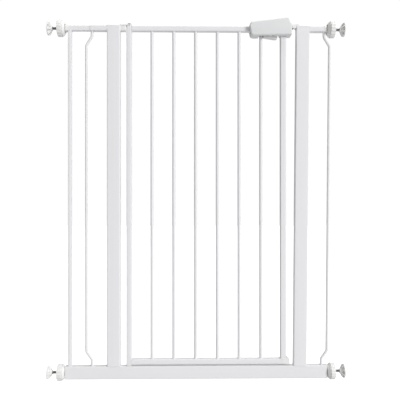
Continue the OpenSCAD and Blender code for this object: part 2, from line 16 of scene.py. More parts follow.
import bmesh  # noqa: E402
import bpy  # noqa: E402
from mathutils import Matrix, Vector  # noqa: E402

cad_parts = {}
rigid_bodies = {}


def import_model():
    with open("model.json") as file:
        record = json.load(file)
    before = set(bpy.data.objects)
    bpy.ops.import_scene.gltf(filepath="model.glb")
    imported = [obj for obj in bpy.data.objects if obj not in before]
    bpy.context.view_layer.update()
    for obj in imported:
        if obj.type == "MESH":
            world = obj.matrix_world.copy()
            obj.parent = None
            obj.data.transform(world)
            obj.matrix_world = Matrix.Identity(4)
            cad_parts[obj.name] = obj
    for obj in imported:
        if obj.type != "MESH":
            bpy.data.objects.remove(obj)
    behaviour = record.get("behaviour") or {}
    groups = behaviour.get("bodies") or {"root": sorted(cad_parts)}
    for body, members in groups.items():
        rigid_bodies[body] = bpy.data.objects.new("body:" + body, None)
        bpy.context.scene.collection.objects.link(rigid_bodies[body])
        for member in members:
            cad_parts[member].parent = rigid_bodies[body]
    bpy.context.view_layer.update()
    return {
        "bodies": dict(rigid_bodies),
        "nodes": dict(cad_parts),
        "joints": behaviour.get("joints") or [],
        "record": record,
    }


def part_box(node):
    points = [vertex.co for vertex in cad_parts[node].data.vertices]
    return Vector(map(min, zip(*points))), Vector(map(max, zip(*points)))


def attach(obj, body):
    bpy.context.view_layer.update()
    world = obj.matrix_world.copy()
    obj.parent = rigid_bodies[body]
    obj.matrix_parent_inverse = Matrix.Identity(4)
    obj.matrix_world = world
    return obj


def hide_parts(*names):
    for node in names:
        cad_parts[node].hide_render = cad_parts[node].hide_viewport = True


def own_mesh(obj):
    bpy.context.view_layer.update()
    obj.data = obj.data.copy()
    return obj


log = logging.getLogger("safety_gate")

MM = 0.001
# Radius under which a turned profile closes in a point
POLE = 1e-7
# Radius of the rounded corners of the flat tubes, and of the plain weld beads
TUBE_CORNER = 3 * MM
BEAD = 0.9 * MM
# Rounding of a tube's cut ends, of a turned pin's edges, and of the bushes and washers
TUBE_END = 0.35 * MM
PIN_EDGE = 0.3 * MM
BUSH_EDGE = 0.4 * MM
# Radius and height of a pan head
SCREW_HEAD = 2.9 * MM
SCREW_RISE = 1.8 * MM
Point2 = tuple[float, float]
Colour = tuple[float, float, float]
Box = tuple[Vector, Vector]
Value = float | int | tuple[float, float, float]


class SocketKind(Enum):
    """The kinds of socket that the node groups use."""

    FLOAT = "NodeSocketFloat"
    INT = "NodeSocketInt"
    VECTOR = "NodeSocketVector"
    GEOMETRY = "NodeSocketGeometry"
    MATERIAL = "NodeSocketMaterial"

    @classmethod
    def of(cls, value: Value) -> SocketKind:
        """The kind of socket that holds a value."""
        return {float: cls.FLOAT, int: cls.INT, tuple: cls.VECTOR}[type(value)]


class Slot(Enum):
    """The record's material slots."""

    PAINT = "white_powder_coat"
    PLASTIC = "white_plastic"
    SHELL = "latch_plastic"
    # Dark grey of the bolt: partly the nylon's own grey, partly painted shade for the shaded recess under the
    # keeper lip.
    NYLON_AND_SHADE = "grey_nylon"
    ZINC = "zinc_steel"


# ---------------------------------------------------------------------------------------------------------
# Node trees
# ---------------------------------------------------------------------------------------------------------


class Tree:
    """Adds nodes to a node tree and links them."""

    def __init__(self, tree: bpy.types.NodeTree) -> None:
        """Keeps the shader or geometry tree to add nodes to."""
        self.tree = tree

    def add(self, kind: str, inputs: dict[Any, Any] | None = None, **settings: Any) -> bpy.types.Node:
        """Adds one node.

        Args:
            kind: Blender's name of the node class.
            inputs: Socket name or index to a value, or to the output socket that feeds it.
            **settings: Properties of the node, set before its inputs.

        Returns:
            The new node.
        """
        made = self.tree.nodes.new(kind)
        for name, value in settings.items():
            setattr(made, name, value)
        for key, value in (inputs or {}).items():
            if isinstance(value, bpy.types.NodeSocket):
                self.tree.links.new(value, made.inputs[key])
            else:
                made.inputs[key].default_value = value
        return made

    def out(
        self, kind: str, inputs: dict[Any, Any] | None = None, **settings: Any
    ) -> bpy.types.NodeSocket:
        """Adds one node, as add does, and returns its first output."""
        return self.add(kind, inputs, **settings).outputs[0]

    def math(self, operation: str, *values: Any) -> bpy.types.NodeSocket:
        """Adds a Math node with up to three values and returns its output."""
        return self.out("ShaderNodeMath", dict(enumerate(values)), operation=operation)

    def vector(self, x: Any, y: Any, z: Any) -> bpy.types.NodeSocket:
        """Joins three values into a vector."""
        return self.out("ShaderNodeCombineXYZ", {0: x, 1: y, 2: z})


class Group(Tree):
    """A node group with named inputs and outputs."""

    def __init__(
        self, kind: str, name: str, inputs: dict[str, Value | SocketKind], outputs: dict[str, SocketKind]
    ) -> None:
        """Makes the group and its sockets.

        Args:
            kind: GeometryNodeTree or ShaderNodeTree.
            name: The group's name.
            inputs: Input name to its default, whose type gives its kind, or to a kind that has no default.
            outputs: Output name to its kind.
        """
        super().__init__(bpy.data.node_groups.new(name, kind))
        for label, default in inputs.items():
            bare = isinstance(default, SocketKind)
            socket_kind = default if bare else SocketKind.of(default)
            socket = self.tree.interface.new_socket(name=label, in_out="INPUT", socket_type=socket_kind.value)
            if not bare:
                socket.default_value = default
        for label, socket_kind in outputs.items():
            self.tree.interface.new_socket(name=label, in_out="OUTPUT", socket_type=socket_kind.value)
        self.source = self.tree.nodes.new("NodeGroupInput").outputs
        self.result = self.tree.nodes.new("NodeGroupOutput").inputs

    def give(self, **sockets: bpy.types.NodeSocket) -> bpy.types.NodeTree:
        """Links the group's outputs.

        Args:
            **sockets: Output name to the socket that feeds it.

        Returns:
            The finished tree.
        """
        for label, socket in sockets.items():
            self.tree.links.new(socket, self.result[label])
        return self.tree


class GeometryGroup(Group):
    """A Geometry Nodes tree that ends in Realize Instances and Set Material."""

    def __init__(self, name: str, inputs: dict[str, Value]) -> None:
        """Makes the tree with its base geometry, its sizes and its finish as inputs.

        Args:
            name: The group's name.
            inputs: The named sizes of the tree and their defaults.
        """
        every = {"Geometry": SocketKind.GEOMETRY, **inputs, "Finish": SocketKind.MATERIAL}
        super().__init__("GeometryNodeTree", name, every, {"Geometry": SocketKind.GEOMETRY})

    def close(self, geometry: bpy.types.NodeSocket) -> bpy.types.NodeTree:
        """Realizes the instances, shades them smooth and sets their material.

        Args:
            geometry: What the tree has made.

        Returns:
            The finished tree.
        """
        real = self.out("GeometryNodeRealizeInstances", {"Geometry": geometry})
        shaded = self.out("GeometryNodeSetShadeSmooth", {"Geometry": real, "Shade Smooth": True})
        dressed = self.out("GeometryNodeSetMaterial", {"Geometry": shaded, "Material": self.source["Finish"]})
        return self.give(Geometry=dressed)

    def join(self, *parts: bpy.types.NodeSocket) -> bpy.types.NodeSocket:
        """Joins several geometries.

        Args:
            *parts: The geometries.

        Returns:
            The joined geometry.
        """
        node = self.tree.nodes.new("GeometryNodeJoinGeometry")
        for part in parts:
            self.tree.links.new(part, node.inputs[0])
        return node.outputs[0]


# ---------------------------------------------------------------------------------------------------------
# Shared surface effects
# ---------------------------------------------------------------------------------------------------------


class Effects:
    """The shader node groups that several finishes share."""

    def __init__(self) -> None:
        """Builds each group once."""
        self.grain = self._grain()
        self.drift = self._drift()
        self.dust = self._dust()
        self.handling = self._handling()

    @staticmethod
    def _group(name: str, inputs: dict[str, Value], output: str) -> Group:
        """A shader group of the given inputs and one value as its output."""
        return Group("ShaderNodeTree", name, inputs, {output: SocketKind.FLOAT})

    @staticmethod
    def _noise(g: Group, scale: Any, detail: float, place: Any = None) -> bpy.types.NodeSocket:
        """Noise over the piece.

        Args:
            g: The group to add it to.
            scale: Its scale, as a value or a socket.
            detail: Its number of finer layers.
            place: The point it reads, or None for the piece's own coordinates.

        Returns:
            The noise, from nought to one.
        """
        if place is None:
            place = g.add("ShaderNodeTexCoord").outputs["Object"]
        return g.out("ShaderNodeTexNoise", {"Vector": place, "Scale": scale, "Detail": detail})

    @staticmethod
    def _ramp(g: Group, value: bpy.types.NodeSocket, low: float, high: float) -> bpy.types.NodeSocket:
        """Rises from nought to one as a value goes from low to high."""
        ramp = g.add("ShaderNodeMapRange", {"Value": value, "From Min": low, "From Max": high})
        return ramp.outputs["Result"]

    def _grain(self) -> bpy.types.NodeTree:
        """Fine surface relief: the orange peel of a sprayed coat or the spark texture of a mould.

        Returns:
            The group, which puts out a height.
        """
        g = self._group("surface_grain", {"Scale": 600.0, "Finer": 3.0, "Mix": 0.3}, "Height")
        broad = self._noise(g, g.source["Scale"], 1.0)
        fine = self._noise(g, g.math("MULTIPLY", g.source["Scale"], g.source["Finer"]), 2.0)
        mixed = g.out("ShaderNodeMix", {0: g.source["Mix"], 2: broad, 3: fine}, data_type="FLOAT")
        return g.give(Height=mixed)

    def _drift(self) -> bpy.types.NodeTree:
        """Slow change of a value over the surface, centred on nought.

        Returns:
            The group, which puts out the change.
        """
        g = self._group("slow_drift", {"Scale": 9.0, "Amount": 0.05}, "Value")
        centred = g.math("SUBTRACT", self._noise(g, g.source["Scale"], 3.0), 0.5)
        return g.give(Value=g.math("MULTIPLY", centred, g.source["Amount"]))

    def _dust(self) -> bpy.types.NodeTree:
        """Light dust that settles on faces that look up, broken up by noise.

        Returns:
            The group, which puts out a mask.
        """
        g = self._group("settled_dust", {"Amount": 0.2, "Scale": 120.0}, "Mask")
        normal = g.add("ShaderNodeNewGeometry").outputs["Normal"]
        up = g.add("ShaderNodeSeparateXYZ", {0: normal}).outputs[2]
        facing = g.math("POWER", g.math("MAXIMUM", up, 0.0), 3.0)
        patchy = g.math("MULTIPLY", facing, self._noise(g, g.source["Scale"], 4.0))
        return g.give(Mask=g.math("MULTIPLY", patchy, g.source["Amount"]))

    def _handling(self) -> bpy.types.NodeTree:
        """Faint rubbed patches and hairlines, as hands and cloths leave.

        Returns:
            The group, which puts out a mask.
        """
        g = self._group("handling_marks", {"Amount": 0.5, "Patch": 14.0}, "Mask")
        chosen = self._ramp(g, self._noise(g, g.source["Patch"], 5.0), 0.52, 0.72)
        place = g.add("ShaderNodeTexCoord").outputs["Object"]
        stretched = g.out("ShaderNodeMapping", {"Vector": place, "Scale": (160.0, 160.0, 2600.0)})
        thin = self._ramp(g, self._noise(g, 1.0, 2.0, stretched), 0.5, 0.68)
        marked = g.math("MULTIPLY", chosen, g.math("MULTIPLY_ADD", thin, 0.6, 0.4))
        return g.give(Mask=g.math("MULTIPLY", marked, g.source["Amount"]))


# ---------------------------------------------------------------------------------------------------------
# Finishes
# ---------------------------------------------------------------------------------------------------------


class Surface(Tree):
    """A material's tree with its Principled shader."""

    def __init__(self, name: str, constants: dict[str, Any]) -> None:
        """Makes the material.

        Args:
            name: The material's name.
            constants: Values for the Principled shader's own sockets.
        """
        self.material = bpy.data.materials.new(name)
        self.material.use_nodes = True
        super().__init__(self.material.node_tree)
        self.tree.nodes.clear()
        self.shader = self.add("ShaderNodeBsdfPrincipled", constants)
        self.add("ShaderNodeOutputMaterial", {"Surface": self.shader.outputs[0]})

    def group(self, tree: bpy.types.NodeTree, inputs: dict[str, Any]) -> bpy.types.NodeSocket:
        """Places a shared effect.

        Args:
            tree: The effect's group.
            inputs: Its values in this material.

        Returns:
            The effect's output.
        """
        node = self.tree.nodes.new("ShaderNodeGroup")
        node.node_tree = tree
        for key, value in inputs.items():
            node.inputs[key].default_value = value
        return node.outputs[0]

    def feed(self, socket: str, value: bpy.types.NodeSocket) -> None:
        """Links a value to one of the shader's sockets."""
        self.tree.links.new(value, self.shader.inputs[socket])

    def shade(self, colour: Colour, darker: Colour, mask: bpy.types.NodeSocket) -> bpy.types.NodeSocket:
        """Mixes two colours by a mask and returns the colour."""
        node = self.add("ShaderNodeMix", {0: mask, 6: (*colour, 1.0), 7: (*darker, 1.0)}, data_type="RGBA")
        return node.outputs[2]

    def bump(self, height: bpy.types.NodeSocket, strength: float, distance: float) -> None:
        """Feeds a relief to the shader's normal."""
        normal = self.out("ShaderNodeBump", {"Height": height, "Strength": strength, "Distance": distance})
        self.feed("Normal", normal)


@dataclass(frozen=True)
class PowderCoat:
    """White powder coat on steel tube: satin, with a faint orange peel and dust on what looks up."""

    name: str = "powder_coat"
    colour: Colour = (0.805, 0.803, 0.82)
    dusty: Colour = (0.68, 0.67, 0.65)
    roughness: float = 0.36
    peel_scale: float = 520.0
    peel_height: float = 0.00009

    def material(self, effects: Effects) -> bpy.types.Material:
        """Builds the material.

        Args:
            effects: The shared surface effects.

        Returns:
            The material.
        """
        s = Surface(self.name, {"Coat Weight": 0.12, "Coat Roughness": 0.18, "IOR": 1.5})
        mask = s.group(effects.dust, {"Amount": 0.3, "Scale": 140.0})
        drift = s.group(effects.drift, {"Scale": 6.0, "Amount": 0.16})
        dulled = s.math("ADD", mask, s.math("MAXIMUM", drift, 0.0))
        s.feed("Base Color", s.shade(self.colour, self.dusty, dulled))
        marks = s.group(effects.handling, {"Amount": 0.07, "Patch": 11.0})
        s.feed("Roughness", s.math("ADD", s.math("ADD", drift, marks), self.roughness))
        s.bump(s.group(effects.grain, {"Scale": self.peel_scale, "Mix": 0.22}), 0.35, self.peel_height)
        return s.material


@dataclass(frozen=True)
class MouldedPlastic:
    """White moulded plastic with the fine spark texture of its mould."""

    name: str
    colour: Colour
    shadow: Colour
    roughness: float
    grain_scale: float
    grain_height: float
    coat: float = 0.0

    def material(self, effects: Effects) -> bpy.types.Material:
        """Builds the material.

        Args:
            effects: The shared surface effects.

        Returns:
            The material.
        """
        s = Surface(self.name, {"Coat Weight": self.coat, "Coat Roughness": 0.22, "IOR": 1.49})
        drift = s.group(effects.drift, {"Scale": 16.0, "Amount": 0.2})
        mask = s.math("ADD", s.group(effects.dust, {"Amount": 0.18}), s.math("MAXIMUM", drift, 0.0))
        s.feed("Base Color", s.shade(self.colour, self.shadow, mask))
        marks = s.group(effects.handling, {"Amount": 0.1, "Patch": 26.0})
        s.feed("Roughness", s.math("ADD", s.math("MULTIPLY_ADD", drift, 0.5, marks), self.roughness))
        s.bump(s.group(effects.grain, {"Scale": self.grain_scale, "Mix": 0.5}), 0.4, self.grain_height)
        return s.material


@dataclass(frozen=True)
class PlatedSteel:
    """Zinc-plated steel: grey and a little mottled, with rubbed marks in its roughness."""

    name: str = "zinc_plate"
    colour: Colour = (0.40, 0.41, 0.425)
    dull: Colour = (0.27, 0.275, 0.28)
    roughness: float = 0.34

    def material(self, effects: Effects) -> bpy.types.Material:
        """Builds the material.

        Args:
            effects: The shared surface effects.

        Returns:
            The material.
        """
        s = Surface(self.name, {"Metallic": 0.85})
        blotch = s.group(effects.drift, {"Scale": 210.0, "Amount": 1.6})
        ramp = s.add("ShaderNodeMapRange", {"Value": blotch, "From Min": -0.4, "From Max": 0.4})
        mask = ramp.outputs["Result"]
        s.feed("Base Color", s.shade(self.colour, self.dull, mask))
        marks = s.group(effects.handling, {"Amount": 0.12, "Patch": 60.0})
        s.feed("Roughness", s.math("ADD", s.math("MULTIPLY_ADD", mask, 0.14, marks), self.roughness))
        s.bump(s.group(effects.grain, {"Scale": 1500.0, "Mix": 0.5}), 0.25, 0.00004)
        return s.material


class Palette:
    """Every finish of the gate, by the record's slot."""

    def __init__(self) -> None:
        """Builds the shared effects and the materials."""
        effects = Effects()
        self.finishes: dict[Slot, bpy.types.Material] = {
            Slot.PAINT: PowderCoat().material(effects),
            Slot.PLASTIC: MouldedPlastic(
                "moulded_white", (0.83, 0.83, 0.823), (0.72, 0.72, 0.71), 0.4, 1500.0, 0.00006
            ).material(effects),
            Slot.SHELL: MouldedPlastic(
                "latch_white", (0.745, 0.755, 0.76), (0.64, 0.645, 0.65), 0.3, 1100.0, 0.00004, 0.15
            ).material(effects),
            # The bolt's dark grey is partly its nylon's own colour and partly painted shade, standing in for
            # the shaded recess under the keeper lip.
            Slot.NYLON_AND_SHADE: MouldedPlastic(
                "grey_nylon", (0.16, 0.165, 0.175), (0.24, 0.24, 0.24), 0.45, 1300.0, 0.00007
            ).material(effects),
            Slot.ZINC: PlatedSteel().material(effects),
        }

    def __getitem__(self, slot: Slot) -> bpy.types.Material:
        """The material of a slot."""
        return self.finishes[slot]


# ---------------------------------------------------------------------------------------------------------
# Mesh work
# ---------------------------------------------------------------------------------------------------------


def fillet_outline(
    points: Sequence[Point2], radius: float, steps: int = 4, closed: bool = True
) -> list[Point2]:
    """Rounds the corners of an outline.

    Args:
        points: The corners in order.
        radius: The radius of each corner, made smaller where its sides are short.
        steps: Points on each arc, less one.
        closed: Whether the outline closes, or else its two end points stay as they are.

    Returns:
        The outline with an arc for each corner.
    """
    count = len(points)
    nearly_straight = math.pi / 2 - 0.02
    longest = 0.45
    made: list[Point2] = []
    for i, point in enumerate(points):
        here = Vector(point)
        if not closed and i in (0, count - 1):
            made.append(point)
            continue
        back = Vector(points[i - 1]) - here
        ahead = Vector(points[(i + 1) % count]) - here
        half = back.angle(ahead) / 2
        if half > nearly_straight:
            made.append(point)
            continue
        cut = min(radius / math.tan(half), longest * back.length, longest * ahead.length)
        start, end = here + back.normalized() * cut, here + ahead.normalized() * cut
        for k in range(steps + 1):
            t = k / steps
            spot = start * (1 - t) ** 2 + here * (2 * t * (1 - t)) + end * t**2
            made.append((spot.x, spot.y))
    return made


def lathe(profile: Sequence[Point2], centre: Vector, way: float, segments: int) -> bpy.types.Mesh:
    """Turns a closed profile about a line along X.

    Args:
        profile: (distance along the axis, radius) pairs. A radius of nought is a pole, and a profile without
            poles closes on itself.
        centre: The profile's own origin.
        way: 1 to run along +X, -1 along -X.
        segments: Steps round the axis.

    Returns:
        A closed mesh.
    """
    bm = bmesh.new()
    rings: list[list[bmesh.types.BMVert]] = []
    for along, radius in profile:
        x = centre.x + way * along
        if radius < POLE:
            rings.append([bm.verts.new((x, centre.y, centre.z))] * segments)
            continue
        ring = []
        for k in range(segments):
            a = 2 * math.pi * k / segments
            ring.append(bm.verts.new((x, centre.y + radius * math.cos(a), centre.z + radius * math.sin(a))))
        rings.append(ring)
    open_ended = profile[0][1] < POLE
    for i in range(len(rings) - 1 if open_ended else len(rings)):
        a_ring, b_ring = rings[i], rings[(i + 1) % len(rings)]
        for k in range(segments):
            n = (k + 1) % segments
            corners = list(dict.fromkeys([a_ring[k], a_ring[n], b_ring[n], b_ring[k]]))
            if len(corners) > 2:
                bm.faces.new(corners)
    return finish_mesh(bm, "turned")


def finish_mesh(bm: bmesh.types.BMesh, name: str) -> bpy.types.Mesh:
    """Turns a closed shell's faces outwards and writes it to a mesh.

    Args:
        bm: The shell, which is freed.
        name: The mesh's name.

    Returns:
        The mesh.
    """
    bmesh.ops.recalc_face_normals(bm, faces=bm.faces)
    mesh = bpy.data.meshes.new(name)
    bm.to_mesh(mesh)
    bm.free()
    return mesh


def rail_loop(centre: Vector, wide: float, high: float, corner: float, axis: str) -> list[Vector]:
    """Closed loop of a tube's outline, square to an axis.

    Args:
        centre: The middle of the loop.
        wide: Size along the loop's first direction, which is Y on a tube along X, or else X.
        high: Size along its second direction, which is Z on a tube along X, or else Y.
        corner: Radius of its corners.
        axis: "x" for a tube that runs along X, or "z".

    Returns:
        The points of the loop.
    """
    box = [(-wide / 2, -high / 2), (wide / 2, -high / 2), (wide / 2, high / 2), (-wide / 2, high / 2)]
    flat = fillet_outline(box, corner)
    if axis == "x":
        return [centre + Vector((0, u, v)) for u, v in flat]
    return [centre + Vector((u, v, 0)) for u, v in flat]


def tube_end(node: str, x: float) -> list[Vector]:
    """Outline of a node's flat tube along X, at one place on it.

    Args:
        node: The frame's node.
        x: The place.

    Returns:
        The points of the loop.
    """
    low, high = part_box(node)
    return rail_loop(Vector((x, 0, (low.z + high.z) / 2)), high.y - low.y, high.z - low.z, TUBE_CORNER, "x")


def ring_loop(centre: Vector, radius: float, steps: int = 20) -> list[Vector]:
    """Closed level circle of points."""
    turns = [2 * math.pi * k / steps for k in range(steps)]
    return [centre + radius * Vector((math.cos(a), math.sin(a), 0)) for a in turns]


def wire_mesh(paths: Sequence[Sequence[Vector]], closed: bool) -> bpy.types.Mesh:
    """Mesh of edges only, which the trees turn into curves.

    Args:
        paths: One list of points for each path.
        closed: Whether each path closes on itself.

    Returns:
        The mesh, in the frame's place.
    """
    points: list[Vector] = []
    edges: list[tuple[int, int]] = []
    for path in paths:
        first = len(points)
        points += path
        edges += [(first + k, first + k + 1) for k in range(len(path) - 1)]
        if closed:
            edges.append((first + len(path) - 1, first))
    mesh = bpy.data.meshes.new("path")
    mesh.from_pydata([tuple(p) for p in points], edges, [])
    return mesh


# ---------------------------------------------------------------------------------------------------------
# Geometry Nodes trees
# ---------------------------------------------------------------------------------------------------------


class Growth:
    """The Geometry Nodes trees of what repeats or follows a path."""

    def __init__(self) -> None:
        """Builds each tree once."""
        self.wire = self._wire()
        self.weld = self._weld()
        self.rack = self._rack()
        self.thread = self._thread()
        self.scallop = self._scallop()
        self.ribs = self._ribs()
        self.screws = self._screws()
        self.coil = self._coil()
        self.ridges = self._ridges()

    def _wire(self) -> bpy.types.NodeTree:
        """Bent round wire along a path of straight legs.

        Returns:
            The tree.
        """
        g = GeometryGroup("bent_wire", {"Radius": 0.004, "Bend": 0.012})
        path = g.out("GeometryNodeMeshToCurve", {0: g.source["Geometry"]})
        bend = {"Curve": path, "Count": 12, "Radius": g.source["Bend"], "Limit Radius": True}
        bent = g.out("GeometryNodeFilletCurve", bend, mode="POLY")
        ring = g.out("GeometryNodeCurvePrimitiveCircle", {"Resolution": 28, "Radius": g.source["Radius"]})
        swept = {"Curve": bent, "Profile Curve": ring, "Fill Caps": True}
        return g.close(g.out("GeometryNodeCurveToMesh", swept))

    def _weld(self) -> bpy.types.NodeTree:
        """Weld bead along closed loops, rippled as the torch moved and coated over.

        Returns:
            The tree.
        """
        g = GeometryGroup("weld_bead", {"Radius": 0.0011, "Ripple": 0.0019, "Depth": 0.1})
        loop = g.out("GeometryNodeMeshToCurve", {0: g.source["Geometry"]})
        step = g.math("DIVIDE", g.source["Ripple"], 5.0)
        even = g.out("GeometryNodeResampleCurve", {"Curve": loop, "Length": step}, mode="LENGTH")
        along = g.add("GeometryNodeSplineParameter").outputs["Length"]
        phase = g.math("MULTIPLY", g.math("DIVIDE", along, g.source["Ripple"]), 2 * math.pi)
        wave = g.math("MULTIPLY", g.math("SINE", phase), g.source["Depth"])
        place = g.out("GeometryNodeInputPosition")
        uneven = g.out("ShaderNodeTexNoise", {"Vector": place, "Scale": 160.0, "Detail": 1.0})
        scale = g.math("ADD", g.math("ADD", wave, g.math("MULTIPLY", uneven, 0.4)), 0.8)
        ring = g.out("GeometryNodeCurvePrimitiveCircle", {"Resolution": 8, "Radius": g.source["Radius"]})
        swept = {"Curve": even, "Profile Curve": ring, "Scale": scale}
        return g.close(g.out("GeometryNodeCurveToMesh", swept))

    def _rack(self) -> bpy.types.NodeTree:
        """Row of equal round bars along X.

        Returns:
            The tree.
        """
        g = GeometryGroup(
            "bar_rack",
            {
                "Count": 6,
                "Pitch": 0.064,
                "First": (0.0, 0.0, 0.0),
                "Radius": 0.005,
                "Height": 0.9,
            },
        )
        offset = g.vector(g.source["Pitch"], 0.0, 0.0)
        row = g.out(
            "GeometryNodeMeshLine",
            {"Count": g.source["Count"], "Start Location": g.source["First"], "Offset": offset},
        )
        bar = g.out(
            "GeometryNodeMeshCylinder",
            {"Vertices": 40, "Side Segments": 24, "Radius": g.source["Radius"], "Depth": g.source["Height"]},
        )
        return g.close(g.out("GeometryNodeInstanceOnPoints", {"Points": row, "Instance": bar}))

    def _thread(self) -> bpy.types.NodeTree:
        """Threaded rod along X: a cylinder whose radius falls with the turn of the thread.

        Returns:
            The tree.
        """
        g = GeometryGroup(
            "threaded_rod",
            {
                "Centre": (0.0, 0.0, 0.0),
                "Radius": 0.004,
                "Length": 0.08,
                "Pitch": 0.00125,
                "Depth": 0.00065,
                "Rings": 400,
            },
        )
        rod = g.out(
            "GeometryNodeMeshCylinder",
            {
                "Vertices": 28,
                "Side Segments": g.source["Rings"],
                "Radius": g.source["Radius"],
                "Depth": g.source["Length"],
            },
        )
        parts = g.add("ShaderNodeSeparateXYZ", {0: g.out("GeometryNodeInputPosition")}).outputs
        turn = g.math("DIVIDE", g.math("ARCTAN2", parts[1], parts[0]), 2 * math.pi)
        along = g.math("SUBTRACT", g.math("DIVIDE", parts[2], g.source["Pitch"]), turn)
        tooth = g.math("MULTIPLY", g.math("PINGPONG", along, 0.5), 2.0)
        flank = g.math("SMOOTH_MIN", g.math("MULTIPLY", tooth, 1.15), 1.0, 0.3)
        sunk = g.math("MULTIPLY", flank, g.math("DIVIDE", g.source["Depth"], g.source["Radius"]))
        keep = g.math("SUBTRACT", 1.0, sunk)
        moved = g.vector(g.math("MULTIPLY", parts[0], keep), g.math("MULTIPLY", parts[1], keep), parts[2])
        cut = g.out("GeometryNodeSetPosition", {"Geometry": rod, "Position": moved})
        laid = g.add("GeometryNodeTransform", {"Geometry": cut, "Translation": g.source["Centre"]})
        laid.inputs["Rotation"].default_value = (0.0, math.pi / 2, 0.0)
        return g.close(laid.outputs[0])

    def _scallop(self) -> bpy.types.NodeTree:
        """Scoops finger hollows round the rim of a handwheel whose axis runs along X.

        Returns:
            The tree.
        """
        g = GeometryGroup(
            "scalloped_rim",
            {
                "Centre": (0.0, 0.0, 0.0),
                "Count": 12,
                "Scoop": 0.006,
                "Scoop centre": 0.0283,
                "Rim from": 0.0085,
            },
        )
        place = g.out("GeometryNodeInputPosition")
        local = g.out("ShaderNodeVectorMath", {0: place, 1: g.source["Centre"]}, operation="SUBTRACT")
        parts = g.add("ShaderNodeSeparateXYZ", {0: local}).outputs
        radius = g.math("SQRT", g.math("ADD", g.math("POWER", parts[1], 2.0), g.math("POWER", parts[2], 2.0)))
        sector = g.math("DIVIDE", 2 * math.pi, g.source["Count"])
        share = g.math("DIVIDE", g.math("ARCTAN2", parts[2], parts[1]), sector)
        in_sector = g.math("SUBTRACT", g.math("FRACT", g.math("ADD", share, 8.0)), 0.5)
        off_centre = g.math("MULTIPLY", in_sector, sector)
        across = g.math("MULTIPLY", g.source["Scoop centre"], g.math("SINE", off_centre))
        square = g.math("SUBTRACT", g.math("POWER", g.source["Scoop"], 2.0), g.math("POWER", across, 2.0))
        reach = g.math("MULTIPLY", g.source["Scoop centre"], g.math("COSINE", off_centre))
        bound = g.math("SUBTRACT", reach, g.math("SQRT", g.math("MAXIMUM", square, 0.0)))
        blend = 0.9 * MM
        never_nought = 0.01 * MM
        wanted = g.math("SMOOTH_MIN", radius, bound, blend)
        ratio = g.math("DIVIDE", wanted, g.math("MAXIMUM", radius, never_nought))
        moved = g.vector(parts[0], g.math("MULTIPLY", parts[1], ratio), g.math("MULTIPLY", parts[2], ratio))
        back = g.out("ShaderNodeVectorMath", {0: moved, 1: g.source["Centre"]}, operation="ADD")
        on_rim = g.math("GREATER_THAN", g.math("ABSOLUTE", parts[0]), g.source["Rim from"])
        rim = {"Geometry": g.source["Geometry"], "Selection": on_rim, "Position": back}
        return g.close(g.out("GeometryNodeSetPosition", rim))

    def _ribs(self) -> bpy.types.NodeTree:
        """Adds flat-sided ribs round a pad whose axis runs along X. The base is the pad.

        Returns:
            The tree.
        """
        g = GeometryGroup(
            "radial_ribs",
            {
                "Centre": (0.0, 0.0, 0.0),
                "Count": 8,
                "Thickness": 0.002,
                "Inner": 0.005,
                "Outer": 0.019,
                "Depth": 0.01,
                "Way": 1.0,
            },
        )
        length = g.math("SUBTRACT", g.source["Outer"], g.source["Inner"])
        size = g.vector(g.source["Depth"], g.source["Thickness"], length)
        cuts = {"Vertices X": 2, "Vertices Y": 2, "Vertices Z": 8}
        block = g.out("GeometryNodeMeshCube", {"Size": size, **cuts})
        parts = g.add("ShaderNodeSeparateXYZ", {0: g.out("GeometryNodeInputPosition")}).outputs
        outward = g.math("DIVIDE", g.math("ADD", parts[2], g.math("MULTIPLY", length, 0.5)), length)
        slope = g.math("SUBTRACT", 1.0, g.math("MULTIPLY", g.math("POWER", outward, 1.25), 0.72))
        front = g.math("LESS_THAN", parts[0], 0.0)
        half = g.math("MULTIPLY", g.source["Depth"], 0.5)
        sloped = g.math("SUBTRACT", half, g.math("MULTIPLY", g.source["Depth"], slope))
        along = g.out("ShaderNodeMix", {0: front, 2: parts[0], 3: sloped}, data_type="FLOAT")
        x = g.math("MULTIPLY", g.source["Way"], along)
        radial = g.math("ADD", parts[2], g.math("ADD", g.source["Inner"], g.math("MULTIPLY", length, 0.5)))
        corner = g.vector(x, parts[1], radial)
        shaped = g.out("GeometryNodeSetPosition", {"Geometry": block, "Position": corner})
        points = g.out("GeometryNodeMeshLine", {"Count": g.source["Count"], "Offset": (0.0, 0.0, 0.0)})
        turn = g.math("DIVIDE", 2 * math.pi, g.source["Count"])
        angle = g.math("MULTIPLY", g.math("ADD", g.out("GeometryNodeInputIndex"), 0.5), turn)
        spun = g.out("FunctionNodeAxisAngleToRotation", {"Axis": (1.0, 0.0, 0.0), "Angle": angle})
        star = g.out("GeometryNodeInstanceOnPoints", {"Points": points, "Instance": shaped, "Rotation": spun})
        real = g.out("GeometryNodeRealizeInstances", {"Geometry": star})
        placed = g.out("GeometryNodeTransform", {"Geometry": real, "Translation": g.source["Centre"]})
        return g.close(g.join(g.source["Geometry"], placed))

